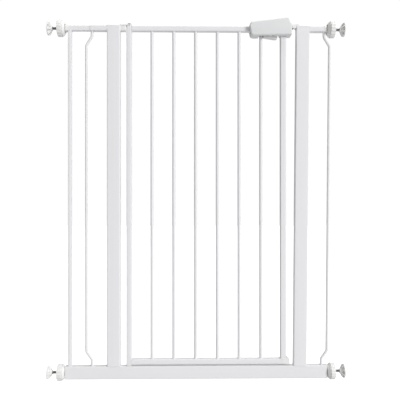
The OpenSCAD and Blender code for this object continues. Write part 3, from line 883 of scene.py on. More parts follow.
    def _screws(self) -> bpy.types.NodeTree:
        """Pan-head screws with a cross recess, their heads on the base's points.

        Returns:
            The tree.
        """
        g = GeometryGroup(
            "pan_head_screws",
            {
                "Head": SCREW_HEAD,
                "Height": SCREW_RISE,
                "Tilt": (0.0, 0.0, 0.0),
            },
        )
        thick = g.math("MULTIPLY", g.source["Height"], 2.0)
        ball = g.out("GeometryNodeMeshUVSphere", {"Segments": 32, "Rings": 16, "Radius": g.source["Head"]})
        squash = g.vector(1.0, 1.0, g.math("DIVIDE", g.source["Height"], g.source["Head"]))
        dome = g.out("GeometryNodeTransform", {"Geometry": ball, "Scale": squash})
        size = g.math("MULTIPLY", g.source["Head"], 3.0)
        below = g.out("GeometryNodeMeshCube", {"Size": g.vector(size, size, thick)})
        drop = g.vector(0.0, 0.0, g.math("MULTIPLY", g.source["Height"], -1.0))
        dropped = g.out("GeometryNodeTransform", {"Geometry": below, "Translation": drop})
        slot = g.math("MULTIPLY", g.source["Head"], 1.05)
        thin = g.math("MULTIPLY", g.source["Head"], 0.27)
        lift = g.vector(0.0, 0.0, g.math("MULTIPLY", g.source["Height"], 1.25))
        arms = []
        for sides in ((slot, thin), (thin, slot)):
            arm = g.out("GeometryNodeMeshCube", {"Size": g.vector(*sides, thick)})
            arms.append(g.out("GeometryNodeTransform", {"Geometry": arm, "Translation": lift}))
        head = dome
        for cutter in (dropped, *arms):
            head = g.out(
                "GeometryNodeMeshBoolean", {"Mesh 1": head, "Mesh 2": cutter}, operation="DIFFERENCE"
            )
        turned = g.out("FunctionNodeEulerToRotation", {0: g.source["Tilt"]})
        placed = g.out(
            "GeometryNodeInstanceOnPoints",
            {"Points": g.source["Geometry"], "Instance": head, "Rotation": turned},
        )
        return g.close(placed)

    def _coil(self) -> bpy.types.NodeTree:
        """Upright coil spring.

        Returns:
            The tree.
        """
        g = GeometryGroup(
            "coil_spring",
            {
                "Base": (0.0, 0.0, 0.0),
                "Turns": 5.0,
                "Radius": 0.0036,
                "Wire": 0.0005,
                "Height": 0.012,
            },
        )
        spiral = g.out(
            "GeometryNodeCurveSpiral",
            {
                "Resolution": 40,
                "Rotations": g.source["Turns"],
                "Start Radius": g.source["Radius"],
                "End Radius": g.source["Radius"],
                "Height": g.source["Height"],
            },
        )
        ring = g.out("GeometryNodeCurvePrimitiveCircle", {"Resolution": 12, "Radius": g.source["Wire"]})
        swept = g.out("GeometryNodeCurveToMesh", {"Curve": spiral, "Profile Curve": ring, "Fill Caps": True})
        return g.close(g.out("GeometryNodeTransform", {"Geometry": swept, "Translation": g.source["Base"]}))

    def _ridges(self) -> bpy.types.NodeTree:
        """Row of grip ridges across a finger pad, each a round rod along Y with domed ends.

        Returns:
            The tree.
        """
        g = GeometryGroup(
            "grip_ridges",
            {
                "Count": 6,
                "Start": (0.0, 0.0, 0.0),
                "Step": (0.003, 0.0, 0.0),
                "Radius": 0.0007,
                "Length": 0.011,
            },
        )
        row = g.out(
            "GeometryNodeMeshLine",
            {"Count": g.source["Count"], "Start Location": g.source["Start"], "Offset": g.source["Step"]},
        )
        ball = g.out("GeometryNodeMeshUVSphere", {"Segments": 20, "Rings": 12, "Radius": g.source["Radius"]})
        parts = g.add("ShaderNodeSeparateXYZ", {0: g.out("GeometryNodeInputPosition")}).outputs
        half = g.math("SUBTRACT", g.math("MULTIPLY", g.source["Length"], 0.5), g.source["Radius"])
        pulled = g.math("MULTIPLY", g.math("SIGN", parts[2]), half)
        stretch = g.vector(0.0, 0.0, pulled)
        longer = g.out("GeometryNodeSetPosition", {"Geometry": ball, "Offset": stretch})
        laid = g.add("GeometryNodeTransform", {"Geometry": longer})
        laid.inputs["Rotation"].default_value = (math.pi / 2, 0.0, 0.0)
        return g.close(g.out("GeometryNodeInstanceOnPoints", {"Points": row, "Instance": laid.outputs[0]}))


# ---------------------------------------------------------------------------------------------------------
# Workshop
# ---------------------------------------------------------------------------------------------------------


class Workshop:
    """Makes pieces, gives them their finish and hangs them on the frame's bodies."""

    SHARP = math.radians(32)
    FLAT = math.radians(0.8)
    MERGE = 2e-6

    def __init__(self, frame: dict[str, Any], palette: Palette, growth: Growth) -> None:
        """Keeps what every piece needs.

        Args:
            palette: The materials by slot.
            growth: The Geometry Nodes trees.
        """
        self.nodes: dict[str, bpy.types.Object] = frame["nodes"]
        bodies = frame["record"]["behaviour"]["bodies"]
        self.bodies = {node: body for body, nodes in bodies.items() for node in nodes}
        self.palette = palette
        self.growth = growth

    def place(
        self, name: str, mesh: bpy.types.Mesh, slot: Slot, body: str, replaces: Sequence[str] = ()
    ) -> bpy.types.Object:
        """Hangs a finished mesh on a body.

        Args:
            name: The piece's name.
            mesh: Its mesh, in the frame's place.
            slot: The finish it takes.
            body: The body it rides on.
            replaces: The frame's nodes that it stands for.

        Returns:
            The piece.
        """
        mesh.name = name
        if not mesh.materials:
            mesh.materials.append(self.palette[slot])
        piece = bpy.data.objects.new(name, mesh)
        bpy.context.scene.collection.objects.link(piece)
        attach(piece, body)
        if replaces:
            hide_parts(*replaces)
        log.info("%s rides on %s with %d faces", name, body, len(mesh.polygons))
        return piece

    @staticmethod
    def evaluated(host: bpy.types.Object) -> bpy.types.Mesh:
        """Applies a scratch object's modifiers.

        Args:
            host: The scratch object, which is removed.

        Returns:
            Its mesh with the modifiers applied.
        """
        bpy.context.view_layer.update()
        graph = bpy.context.evaluated_depsgraph_get()
        mesh = bpy.data.meshes.new_from_object(host.evaluated_get(graph), depsgraph=graph)
        host.modifiers.clear()
        bpy.data.objects.remove(host)
        return mesh

    @staticmethod
    def host(mesh: bpy.types.Mesh | None) -> bpy.types.Object:
        """Makes a scratch object that carries modifiers.

        Args:
            mesh: Its mesh, or None for an empty one.

        Returns:
            The scratch object.
        """
        made = bpy.data.objects.new("scratch", mesh or bpy.data.meshes.new("empty"))
        bpy.context.scene.collection.objects.link(made)
        return made

    def grow(
        self, tree: bpy.types.NodeTree, slot: Slot, values: dict[str, Any], base: bpy.types.Mesh | None = None
    ) -> bpy.types.Mesh:
        """Runs a Geometry Nodes tree on a base mesh.

        Args:
            tree: One of the growth trees.
            slot: The finish that the tree sets.
            values: Input name to its value.
            base: The mesh or path that it starts from, where it has one.

        Returns:
            The result as a plain mesh.
        """
        host = self.host(base)
        modifier = host.modifiers.new("grow", "NODES")
        modifier.node_group = tree
        names = {
            item.name: item.identifier
            for item in tree.interface.items_tree
            if item.item_type == "SOCKET" and item.in_out == "INPUT"
        }
        for label, value in {**values, "Finish": self.palette[slot]}.items():
            modifier[names[label]] = value
        mesh = self.evaluated(host)
        self.crisp(mesh)
        return mesh

    def crisp(self, mesh: bpy.types.Mesh) -> None:
        """Shades a mesh smooth, apart from its sharp edges."""
        mesh.shade_smooth()
        mesh.set_sharp_from_angle(angle=self.SHARP)

    def soften(self, mesh: bpy.types.Mesh, width: float) -> bpy.types.Mesh:
        """Rounds the sharp edges of a closed mesh.

        Args:
            mesh: The mesh to round.
            width: Width of the rounding, in metres.

        Returns:
            The rounded mesh.
        """
        self.crisp(mesh)
        host = self.host(mesh)
        bevel = host.modifiers.new("round", "BEVEL")
        bevel.width = width
        bevel.segments = 2
        bevel.limit_method = "ANGLE"
        bevel.angle_limit = self.SHARP
        bevel.harden_normals = True
        return self.evaluated(host)

    def softened(self, slot: Slot, width: float, *nodes: str) -> None:
        """Stands rounded copies in for nodes of the frame.

        Args:
            slot: The finish that they take.
            width: Width of the rounding, in metres.
            *nodes: The frame's nodes.
        """
        for node in nodes:
            bm = bmesh.new()
            bm.from_mesh(self.nodes[node].data)
            bmesh.ops.remove_doubles(bm, verts=bm.verts, dist=self.MERGE)
            bmesh.ops.dissolve_limit(bm, angle_limit=self.FLAT, verts=bm.verts, edges=bm.edges)
            mesh = bpy.data.meshes.new(node)
            bm.to_mesh(mesh)
            bm.free()
            mesh.materials.clear()
            self.place(f"{node}_piece", self.soften(mesh, width), slot, self.bodies[node], [node])

    def weld(self, name: str, body: str, loops: Sequence[Sequence[Vector]], radius: float = BEAD) -> None:
        """Lays coated weld beads along closed loops.

        Args:
            name: The piece's name.
            body: The body that it rides on.
            loops: The loops.
            radius: The bead's radius.
        """
        mesh = self.grow(self.growth.weld, Slot.PAINT, {"Radius": radius}, wire_mesh(loops, closed=True))
        self.place(name, mesh, Slot.PAINT, body)


# ---------------------------------------------------------------------------------------------------------
# Sub-assemblies
# ---------------------------------------------------------------------------------------------------------


@dataclass
class SprungFrame:
    """The U-frame: rail, posts, stubs, cranked side bars, caps and keeper."""

    shop: Workshop
    plastic_edge: float = 0.6 * MM
    wire_bend: float = 13 * MM
    wire_radius: float = 4 * MM
    # Radius of the frame's side bars at their bends, which are a little fuller than the wire
    bend_radius: float = 4.2 * MM
    crank: float = 16.5 * MM
    lower_bend: Point2 = (61 * MM, 84 * MM)
    upper_bend: Point2 = (982 * MM, 1009 * MM)
    bead: float = 1.0 * MM
    # The latch-side post and all that is welded to it lean out by this angle
    lean: float = math.radians(0.5)

    def build(self) -> None:
        """Builds every piece of the frame."""
        tubes = ("bottom_rail", "left_post", "right_post", "left_stub", "right_stub")
        self.shop.softened(Slot.PAINT, TUBE_END, *tubes)
        self.shop.softened(Slot.PLASTIC, self.plastic_edge, "left_post_cap", "right_post_cap", "latch_keeper")
        feet = [self.side_bar("left", -1), self.side_bar("right", 1)]
        self.keeper_screws()
        self.welds(feet)

    def side_bar(self, side: str, way: int) -> tuple[Vector, Vector]:
        """Sweeps one cranked bar along its path.

        Args:
            side: "left" or "right".
            way: -1 on the left, where the bar is cranked towards -X, and 1 on the right.

        Returns:
            The middles of its lower and upper ends.
        """
        node = f"{side}_side_bar"
        low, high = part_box(node)
        levels = [low.z, *self.lower_bend, *self.upper_bend, high.z]
        shifts = [0, 0, self.crank, self.crank, 0, 0]
        slope = math.tan(self.lean) if way > 0 else 0.0
        inner = low.x if way > 0 else high.x
        foot = inner + way * self.bend_radius - slope * (levels[1] - low.z)
        path = [
            Vector((foot + way * shift + slope * (level - low.z), 0, level))
            for level, shift in zip(levels, shifts)
        ]
        mesh = self.shop.grow(
            self.shop.growth.wire,
            Slot.PAINT,
            {"Radius": self.wire_radius, "Bend": self.wire_bend},
            wire_mesh([path], closed=False),
        )
        self.shop.place(f"{side}_wire_bar", mesh, Slot.PAINT, "frame", [node])
        return path[0], path[-1]

    def keeper_screws(self) -> None:
        """Two pan heads on top of the keeper."""
        low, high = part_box("keeper_screws")
        rows = (low.y + SCREW_HEAD, high.y - SCREW_HEAD)
        heads = [Vector((high.x - SCREW_HEAD, y, high.z - SCREW_RISE)) for y in rows]
        base = wire_mesh([heads], closed=False)
        mesh = self.shop.grow(self.shop.growth.screws, Slot.ZINC, {"Tilt": (0.0, self.lean, 0.0)}, base)
        self.shop.place("keeper_screw_heads", mesh, Slot.ZINC, "frame", ["keeper_screws"])

    def welds(self, feet: Sequence[tuple[Vector, Vector]]) -> None:
        """Beads where the tubes meet.

        Args:
            feet: The lower and upper ends of the side bars.
        """
        loops: list[list[Vector]] = []
        upright_low, upright_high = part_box("left_post")
        wide = upright_high.x - upright_low.x
        for node in ("left_post", "right_post"):
            low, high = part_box(node)
            foot = Vector((low.x + wide / 2, 0, low.z))
            loops.append(rail_loop(foot, wide, high.y - low.y, TUBE_CORNER, "z"))
        left_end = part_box("left_stub")[1].x
        right_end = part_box("right_stub")[0].x + 0.1 * MM
        loops += [tube_end("left_stub", left_end), tube_end("right_stub", right_end)]
        for ends in feet:
            loops += [ring_loop(end, self.wire_radius) for end in ends]
        self.shop.weld("frame_welds", "frame", loops, self.bead)


@dataclass
class Hinges:
    """The two hinges of the door."""

    shop: Workshop
    strap_edge: float = 0.5 * MM

    def build(self) -> None:
        """Builds the stub, strap, pins, washer and bushes."""
        bushes = ("hinge_stub_cap", "hinge_washer", "upper_hinge_bush", "lower_hinge_bush")
        self.shop.softened(Slot.PAINT, self.strap_edge, "hinge_stub", "hinge_strap")
        self.shop.softened(Slot.PLASTIC, BUSH_EDGE, *bushes)
        self.shop.softened(Slot.ZINC, PIN_EDGE, "upper_hinge_pin", "lower_hinge_pin")
        self.shop.weld("hinge_stub_weld", "frame", [tube_end("hinge_stub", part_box("hinge_stub")[0].x)])


@dataclass
class Extension:
    """The one-upright extension on the hinge side."""

    shop: Workshop
    plug_edge: float = 0.7 * MM
    upright_corner: float = 2 * MM

    def build(self) -> None:
        """Builds its tubes, joiners, plugs and welds."""
        tubes = ("extension_top_rail", "extension_bottom_rail", "extension_upright")
        self.shop.softened(Slot.PAINT, TUBE_END, *tubes)
        self.shop.softened(Slot.PLASTIC, self.plug_edge, "top_end_plugs", "bottom_end_plugs")
        self.shop.softened(Slot.ZINC, PIN_EDGE, "top_spigot", "bottom_spigot")
        low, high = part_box("extension_upright")
        x, wide, deep = (low.x + high.x) / 2, high.x - low.x, high.y - low.y
        ends = [rail_loop(Vector((x, 0, z)), wide, deep, self.upright_corner, "z") for z in (low.z, high.z)]
        self.shop.weld("extension_welds", "frame", ends)


@dataclass
class Door:
    """The barred door."""

    shop: Workshop
    bars: int = 6
    corner_edge: float = 1.1 * MM
    ground_bead: float = 0.2 * MM

    def build(self) -> None:
        """Builds the tubes, the rack of bars, the corner and the welds."""
        tubes = ("hinge_upright", "latch_upright", "door_top_rail", "door_bottom_rail")
        self.shop.softened(Slot.PAINT, TUBE_END, *tubes)
        self.shop.softened(Slot.PLASTIC, self.corner_edge, "corner_block")
        self.rack()
        self.welds()

    def rack(self) -> None:
        """The row of round bars."""
        low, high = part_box("door_bar_1")
        radius, height = (high.x - low.x) / 2, high.z - low.z
        middle = (low + high) / 2
        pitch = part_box("door_bar_2")[0].x - low.x
        bar = {"First": tuple(middle), "Radius": radius, "Height": height}
        mesh = self.shop.grow(self.shop.growth.rack, Slot.PAINT, {**bar, "Count": self.bars, "Pitch": pitch})
        nodes = [f"door_bar_{i + 1}" for i in range(self.bars)]
        self.shop.place("door_bars", mesh, Slot.PAINT, "door", nodes)

    def welds(self) -> None:
        """Beads at both ends of each bar and where the rails meet the uprights.

        The top rail's bead is ground flat, because it passes close to the hinge stub's nose.
        """
        loops: list[list[Vector]] = []
        for i in range(self.bars):
            low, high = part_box(f"door_bar_{i + 1}")
            x, radius = (low.x + high.x) / 2, (high.x - low.x) / 2
            loops += [ring_loop(Vector((x, 0, z)), radius) for z in (low.z, high.z)]
        low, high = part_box("latch_upright")
        foot = Vector(((low.x + high.x) / 2, 0, low.z))
        loops.append(rail_loop(foot, high.x - low.x, high.y - low.y, TUBE_CORNER, "z"))
        top, bottom = (tube_end(node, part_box(node)[0].x) for node in ("door_top_rail", "door_bottom_rail"))
        self.shop.weld("door_welds", "door", [*loops, bottom])
        self.shop.weld("door_top_weld", "door", [top], self.ground_bead)


def box_mm(node: str) -> Box:
    """Lowest and highest corners of a node of the frame, in millimetres."""
    low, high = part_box(node)
    return low / MM, high / MM


@dataclass(frozen=True)
class Hole:
    """A round hole along Y, in millimetres."""

    x: float
    z: float
    radius: float
    y0: float
    y1: float


@dataclass(frozen=True)
class Corner:
    """A round corner of the latch's front outline, in millimetres."""

    x: float
    z: float
    radius: float


@dataclass
class Latch:
    """The squeeze latch: two moulded shells, lever, spring, bolt, pins and screws."""

    shop: Workshop
    corners: tuple[Corner, ...] = (
        Corner(160.6, 1035.5, 7.0),
        Corner(163.0, 1041.5, 6.5),
        Corner(264.0, 1056.0, 4.6),
        Corner(274.0, 1038.0, 4.0),
        Corner(274.0, 1014.3, 4.0),
        Corner(166.5, 1017.2, 9.2),
    )
    # Soft chamfer of a shell's outer edge, as (depth, inset) pairs from its face inwards
    chamfer: tuple[Point2, ...] = ((0.0, 3.4), (0.12, 2.75), (0.5, 2.2), (2.2, 0.45), (2.8, 0.1), (3.6, 0.0))
    seam_edge: float = 0.35
    wall: float = 2.0
    inner_slope: float = 1.2
    arc_steps: int = 7
    screw_points: tuple[Point2, ...] = ((168.5, 1015.0), (250.0, 1051.8), (269.6, 1018.4))
    screw_bore: float = 3.3
    screw_sink: float = 2.4
    # A level under both shells, and the tops of the openings and notches in their lower edge
    below: float = 1000.0
    upright_top: float = 1015.0
    lever_top: float = 1013.0
    notch_top: float = 1018.0
    grip_start: tuple[float, float, float] = (213.0, -0.2, 1004.75)
    grip_end: tuple[float, float, float] = (224.5, -0.2, 1003.0)
    ridges: int = 6

    def build(self) -> None:
        """Builds every piece of the latch."""
        self.cover()
        self.housing()
        self.screws()
        self.lever()
        self.spring()
        # The bolt takes a dark grey that is partly painted shade for the recess under the keeper lip.
        self.shop.softened(Slot.NYLON_AND_SHADE, 0.5 * MM, "latch_bolt")
        self.shop.softened(Slot.ZINC, 0.2 * MM, "lever_pin", "drive_pin")

    def ring(self, inset: float) -> list[Point2]:
        """Rounds the front outline.

        Args:
            inset: How far inside the outline the ring lies, in millimetres.

        Returns:
            The ring as (x, z) points in millimetres.
        """
        smallest = 0.3
        made: list[Point2] = []
        count = len(self.corners)

        def side_angle(a: Corner, b: Corner) -> float:
            """Finds the direction in which a side faces.

            Args:
                a: The corner where the side starts.
                b: The corner where it ends.

            Returns:
                The angle, in radians.
            """
            dx, dz = b.x - a.x, b.z - a.z
            length = math.hypot(dx, dz)
            along = (a.radius - b.radius) / length
            across = math.sqrt(1 - along**2)
            ux, uz = dx / length, dz / length
            return math.atan2(uz * along + ux * across, ux * along - uz * across)

        for i, corner in enumerate(self.corners):
            start = side_angle(self.corners[i - 1], corner)
            end = side_angle(corner, self.corners[(i + 1) % count])
            sweep = (start - end) % (2 * math.pi)
            radius = max(corner.radius - inset, smallest)
            for k in range(self.arc_steps + 1):
                a = start - sweep * k / self.arc_steps
                made.append((corner.x + radius * math.cos(a), corner.z + radius * math.sin(a)))
        return made

    def shell(self, face: float, seam: float) -> bpy.types.Mesh:
        """Lofts the outline into a hollow shell that is open at the seam.

        Args:
            face: The shell's outer face, as a y in millimetres.
            seam: The plane where the two shells meet.

        Returns:
            The closed mesh of the shell's wall.
        """
        way = 1 if seam > face else -1
        stations = [(face + way * depth, inset) for depth, inset in self.chamfer]
        stations += [(seam - way * self.seam_edge, 0.0), (seam, self.seam_edge), (seam, self.wall)]
        floor = face + way * self.wall
        stations += [(floor + way * self.inner_slope, self.wall), (floor, self.wall + self.inner_slope)]
        bm = bmesh.new()
        rings = []
        for y, inset in stations:
            rings.append([bm.verts.new((x * MM, y * MM, z * MM)) for x, z in self.ring(inset)])
        for a_ring, b_ring in zip(rings, rings[1:]):
            for k, vert in enumerate(a_ring):
                n = (k + 1) % len(a_ring)
                bm.faces.new((vert, a_ring[n], b_ring[n], b_ring[k]))
        bm.faces.new(rings[0])
        bm.faces.new(rings[-1])
        return finish_mesh(bm, "shell")

    def cut(self, mesh: bpy.types.Mesh, boxes: Sequence[Box], holes: Sequence[Hole]) -> bpy.types.Mesh:
        """Cuts boxes and round holes out of a shell.

        Args:
            mesh: The shell.
            boxes: Lowest and highest corners, in millimetres.
            holes: The holes.

        Returns:
            The shell with its openings.
        """
        cutters = bmesh.new()
        for low, high in boxes:
            size, middle = (high - low) * MM, (high + low) / 2 * MM
            place = Matrix.Translation(middle) @ Matrix.Diagonal((*size, 1))
            bmesh.ops.create_cube(cutters, size=1.0, matrix=place)
        turn = Matrix.Rotation(math.pi / 2, 4, "X")
        for hole in holes:
            middle = Vector((hole.x, (hole.y0 + hole.y1) / 2, hole.z)) * MM
            bmesh.ops.create_cone(
                cutters,
                cap_ends=True,
                segments=40,
                radius1=hole.radius * MM,
                radius2=hole.radius * MM,
                depth=(hole.y1 - hole.y0) * MM,
                matrix=Matrix.Translation(middle) @ turn,
            )
        tool = self.shop.host(finish_mesh(cutters, "cutters"))
        host = self.shop.host(mesh)
        boolean = host.modifiers.new("cut", "BOOLEAN")
        boolean.operation = "DIFFERENCE"
        boolean.solver = "EXACT"
        boolean.use_self = True
        boolean.object = tool
        made = self.shop.evaluated(host)
        bpy.data.objects.remove(tool)
        return made

    def openings(self) -> list[Box]:
        """Finds where the door's rail and upright, the lever and the bolt pass through the shells.

        Returns:
            Lowest and highest corners, in millimetres.
        """
        slip, bolt_slip = 0.2, 0.6
        rail_low, rail_high = box_mm("door_top_rail")
        upright_low, upright_high = box_mm("latch_upright")
        bolt_low, bolt_high = box_mm("latch_bolt")
        round_rail = Vector((0, slip, slip))
        rail_from, rail_to = 150, 170
        bolt_from, bolt_to, bolt_high_z = 271.2, 282, bolt_low.z + 6.6
        return [
            (
                Vector((rail_from, rail_low.y, rail_low.z)) - round_rail,
                Vector((rail_to, rail_high.y, rail_high.z)) + round_rail,
            ),
            (
                Vector((upright_low.x - slip, upright_low.y - slip, self.below)),
                Vector((upright_high.x + slip, upright_high.y + slip, self.upright_top)),
            ),
            (Vector((183.5, -15.2, self.below)), Vector((240.5, 8.2, self.lever_top))),
            (
                Vector((bolt_from, bolt_low.y - bolt_slip, bolt_low.z - bolt_slip)),
                Vector((bolt_to, bolt_high.y + bolt_slip, bolt_high_z)),
            ),
        ]

    def cover(self) -> None:
        """Front shell: soft chamfer round a flat face, hollow behind."""
        low, high = box_mm("latch_cover")
        mesh = self.cut(self.shell(low.y, high.y), self.openings(), [])
        self.shop.crisp(mesh)
        self.shop.place("latch_cover_shell", mesh, Slot.SHELL, "door", ["latch_cover"])

    def housing(self) -> None:
        """Back shell, notched below for the bars and bored for its screws."""
        low, high = box_mm("latch_housing")
        before_seam, behind = low.y - 1, high.y + 5
        spans = [(182, 196), (208, box_mm("latch_upright")[0].x - 1)]
        notches = [
            (Vector((start, before_seam, self.below)), Vector((end, behind, self.notch_top)))
            for start, end in spans
        ]
        floor, past = high.y - self.screw_sink, high.y + 2
        bores = [Hole(x, z, self.screw_bore, floor, past) for x, z in self.screw_points]
        mesh = self.cut(self.shell(high.y, low.y), self.openings() + notches, bores)
        self.shop.crisp(mesh)
        self.shop.place("latch_housing_shell", mesh, Slot.SHELL, "door", ["latch_housing"])

    def screws(self) -> None:
        """Three pan heads in the back of the housing."""
        floor = box_mm("latch_housing")[1].y - self.screw_sink
        base = wire_mesh([[Vector((x, floor, z)) * MM for x, z in self.screw_points]], closed=False)
        backwards = (-math.pi / 2, 0.0, 0.0)
        mesh = self.shop.grow(self.shop.growth.screws, Slot.ZINC, {"Tilt": backwards}, base)
        self.shop.place("latch_screw_heads", mesh, Slot.ZINC, "door", ["latch_screws"])

    def lever(self) -> None:
        """Squeeze lever with grip ridges under its finger pad."""
        self.shop.softened(Slot.PLASTIC, 0.7 * MM, "squeeze_lever")
        start, end = Vector(self.grip_start) * MM, Vector(self.grip_end) * MM
        step = (end - start) / (self.ridges - 1)
        row = {"Count": self.ridges, "Start": tuple(start), "Step": tuple(step)}
        mesh = self.shop.grow(
            self.shop.growth.ridges, Slot.PLASTIC, {**row, "Radius": 0.6 * MM, "Length": 12.0 * MM}
        )
        self.shop.place("lever_grip", mesh, Slot.PLASTIC, "lever")

    def spring(self) -> None:
        """Return spring: a coil that rides on the door, with a mesh of its own."""
        low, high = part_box("lever_spring")
        wire = 0.5 * MM
        middle = (low + high) / 2
        mesh = self.shop.grow(
            self.shop.growth.coil,
            Slot.ZINC,
            {
                "Base": (middle.x, middle.y, low.z + wire),
                "Height": high.z - low.z - 2 * wire,
                "Radius": (high.y - low.y) / 2 - wire,
                "Wire": wire,
            },
        )
        spring = self.shop.place("return_spring", mesh, Slot.ZINC, "door", ["lever_spring"])
        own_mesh(spring)


@dataclass
class WallFixing:
    """One screw-out wall fixing: threaded spindle, handwheel nut and wall pad."""

    shop: Workshop
    corner: str
    pitch: float = 1.25
    flutes: int = 16
    segments_a_flute: int = 16
    scoop: float = 5.0
    scoop_depth: float = 1.1
    disc: float = 3.0
    grip_rings: int = 5

    @property
    def way(self) -> int:
        """The wall's side: 1 at +X and -1 at -X."""
        return 1 if self.corner.endswith("right") else -1

    def build(self) -> None:
        """Builds the spindle, the handwheel and the pad."""
        self.spindle()
        self.handwheel()
        self.pad()

    def seat(self, node: str) -> tuple[Vector, float, float]:
        """Finds where a turned node starts and how large it is.

        Args:
            node: The frame's node, whose axis runs along X.

        Returns:
            The middle of its end towards the gate, then its length and its radius in millimetres.
        """
        low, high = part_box(node)
        start = Vector((low.x if self.way > 0 else high.x, 0, (low.z + high.z) / 2))
        return start, (high.x - low.x) / MM, (high.z - low.z) / 2 / MM

    def spindle(self) -> None:
        """Rod with a real screw thread."""
        node = f"{self.corner}_spindle"
        low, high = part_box(node)
        length, pitch = high.x - low.x, self.pitch * MM
        rings_a_turn = 8
        rings = round(length / pitch * rings_a_turn)
        sizes = {"Centre": tuple((low + high) / 2), "Length": length, "Pitch": pitch, "Rings": rings}
        mesh = self.shop.grow(self.shop.growth.thread, Slot.ZINC, sizes)
        self.shop.place(f"{self.corner}_threaded_rod", mesh, Slot.ZINC, f"foot_{self.corner}", [node])

    def handwheel(self) -> None:
        """Nut with a cone towards the rail, a groove, and a scalloped rim towards the wall."""
        node = f"{self.corner}_knob"
        start, deep, rim = self.seat(node)
        bore, hub, boss, dish = 4.06, 8.0, 9.0, 18.5
        cone, rim_from, groove = 6.5, 8.5, rim - 3.5
        hub_back = [(0.0, bore), (0.0, hub), (5.0, hub), (5.0, 12.5), (0.0, 12.5)]
        taper = [(0.0, rim - 9), (cone, rim - 1.5), (cone, groove)]
        grip = [(rim_from, groove), (rim_from, rim), (deep, rim)]
        dished = [(deep, dish), (deep - 3, dish), (deep - 3, boss), (deep, boss), (deep, bore)]
        edge = 1.1
        profile = [(x * MM, r * MM) for x, r in fillet_outline(hub_back + taper + grip + dished, edge)]
        sizes = {
            "Centre": tuple(start),
            "Count": self.flutes,
            "Scoop": self.scoop * MM,
            "Scoop centre": (rim + self.scoop - self.scoop_depth) * MM,
            "Rim from": (rim_from - 0.2) * MM,
        }
        base = lathe(profile, start, self.way, self.flutes * self.segments_a_flute)
        mesh = self.shop.grow(self.shop.growth.scallop, Slot.PLASTIC, sizes, base)
        self.shop.place(f"{self.corner}_handwheel", mesh, Slot.PLASTIC, f"knob_{self.corner}", [node])

    def pad(self) -> None:
        """Round wall pad with a tapered hub, ribs and grip rings on its wall face."""
        node = f"{self.corner}_pad"
        start, deep, rim = self.seat(node)
        back, sunk = deep - self.disc, deep - 0.5
        outline = [(0.0, 0.0), (0.0, 6.5), (back, 11.0), (back, rim), (deep, rim)]
        for ring in range(self.grip_rings):
            outer = rim - 2.5 - 3.0 * ring
            outline += [(deep, outer), (sunk, outer - 0.5), (sunk, outer - 1.0), (deep, outer - 1.5)]
        outline = fillet_outline([*outline, (deep, 0.0)], 0.8, 3, closed=False)
        base = lathe([(x * MM, r * MM) for x, r in outline], start, self.way, 96)
        rib_from = 1.0
        rib_depth = back - rib_from
        middle = start + Vector((self.way * (rib_from + rib_depth / 2), 0, 0)) * MM
        ribs = {"Centre": tuple(middle), "Depth": rib_depth * MM, "Outer": (rim - 1) * MM}
        mesh = self.shop.grow(self.shop.growth.ribs, Slot.PLASTIC, {**ribs, "Way": float(self.way)}, base)
        self.shop.place(f"{self.corner}_wall_pad", mesh, Slot.PLASTIC, f"foot_{self.corner}", [node])


# ---------------------------------------------------------------------------------------------------------
# Studio
# ---------------------------------------------------------------------------------------------------------


@dataclass(frozen=True)
class Softbox:
    """A square area light that looks at a point."""

    name: str
    place: tuple[float, float, float]
    target: tuple[float, float, float]
    size: float
    power: float
    gloss: bool = True

    def build(self) -> None:
        """Adds the light."""
        data = bpy.data.lights.new(self.name, "AREA")
        data.shape = "SQUARE"
        data.size = self.size
        data.energy = self.power
        light = bpy.data.objects.new(self.name, data)
        light.location = self.place
        light.visible_glossy = self.gloss
        light.rotation_euler = (Vector(self.target) - Vector(self.place)).to_track_quat("-Z", "Y").to_euler()
        bpy.context.scene.collection.objects.link(light)


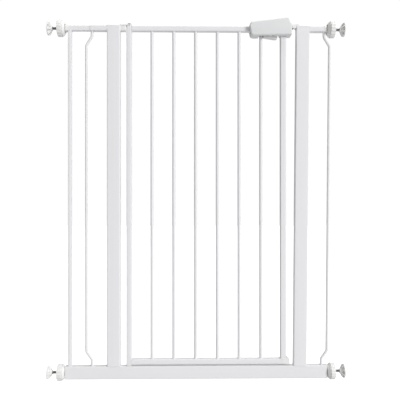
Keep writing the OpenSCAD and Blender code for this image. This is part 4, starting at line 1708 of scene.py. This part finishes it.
@dataclass
class Studio:
    """Camera, pale floor and soft light."""

    target: tuple[float, float, float] = (0.01, 0.0, 0.5288)
    distance: float = 1.5
    yaw: float = math.radians(0.9)
    lens: float = 45.86
    floor_half: float = 9.0
    # Light from all round, and how much stronger it is towards +X, +Y and +Z
    ambient: float = 0.31
    slope: tuple[float, float, float] = (0.7, -0.1, 0.2)
    # What the floor gives off to the gate, and what it and the surround give off to the camera
    bounce: float = 0.34
    seen: float = 1.02
    boxes: tuple[Softbox, ...] = (
        Softbox("key", (12.5, -14.5, 6.5), (0.0, 0.0, 0.5), 7.0, 2560.0, gloss=False),
        Softbox("back", (3.0, 17.0, 3.0), (0.0, 0.0, 0.5), 8.0, 1000.0, gloss=False),
        Softbox("top", (0.0, 0.2, 9.0), (0.0, 0.0, 0.0), 8.0, 370.0),
    )

    def build(self) -> None:
        """Builds the studio."""
        scene = bpy.context.scene
        scene.view_settings.view_transform = "Standard"
        data = bpy.data.cameras.new("camera")
        data.lens = self.lens
        camera = bpy.data.objects.new("camera", data)
        back = Vector((math.sin(self.yaw), math.cos(self.yaw), 0.0)) * self.distance
        camera.location = Vector(self.target) - back
        camera.rotation_euler = (math.pi / 2, 0.0, -self.yaw)
        scene.collection.objects.link(camera)
        scene.camera = camera
        self.floor()
        self.sky()
        for box in self.boxes:
            box.build()

    def glow(self, t: Tree, lit: Any) -> bpy.types.NodeSocket:
        """Strength of a surround that looks white and lights the gate less than it looks.

        Args:
            t: The tree of the surround.
            lit: What it gives to the gate, as a value or a socket.

        Returns:
            The strength.
        """
        seen = t.add("ShaderNodeLightPath").outputs["Is Camera Ray"]
        return t.out("ShaderNodeMix", {0: seen, 2: lit, 3: self.seen}, data_type="FLOAT")

    def floor(self) -> None:
        """Plain white floor."""
        half = self.floor_half
        corners = [(-half, -half, 0), (half, -half, 0), (half, half, 0), (-half, half, 0)]
        mesh = bpy.data.meshes.new("floor")
        mesh.from_pydata(corners, [], [(0, 1, 2, 3)])
        surface = Surface(
            "floor_white",
            {
                "Base Color": (0.3, 0.3, 0.3, 1.0),
                "Roughness": 0.9,
                "Emission Color": (1.0, 1.0, 1.0, 1.0),
            },
        )
        surface.feed("Emission Strength", self.glow(surface, self.bounce))
        mesh.materials.append(surface.material)
        floor = bpy.data.objects.new("floor", mesh)
        floor.location.z = -0.5 * MM
        bpy.context.scene.collection.objects.link(floor)

    def sky(self) -> None:
        """White surround that lights the gate more softly than it looks."""
        world = bpy.data.worlds.new("surround")
        world.use_nodes = True
        bpy.context.scene.world = world
        t = Tree(world.node_tree)
        t.tree.nodes.clear()
        way = t.add("ShaderNodeTexCoord").outputs["Generated"]
        side = t.add("ShaderNodeVectorMath", {0: way, 1: self.slope}, operation="DOT_PRODUCT")
        lit = t.math("MULTIPLY_ADD", side.outputs["Value"], self.ambient, self.ambient)
        strength = self.glow(t, lit)
        sky = t.out("ShaderNodeBackground", {"Color": (1.0, 1.0, 1.0, 1.0), "Strength": strength})
        t.add("ShaderNodeOutputWorld", {"Surface": sky})


def main() -> None:
    """Loads the frame and builds the gate around it."""
    logging.basicConfig(level=logging.INFO, format="%(message)s")
    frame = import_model()
    Studio().build()
    shop = Workshop(frame, Palette(), Growth())
    SprungFrame(shop).build()
    Hinges(shop).build()
    Extension(shop).build()
    Door(shop).build()
    Latch(shop).build()
    for corner in ("top_left", "bottom_left", "top_right", "bottom_right"):
        WallFixing(shop, corner).build()


if __name__ == "__main__":
    main()
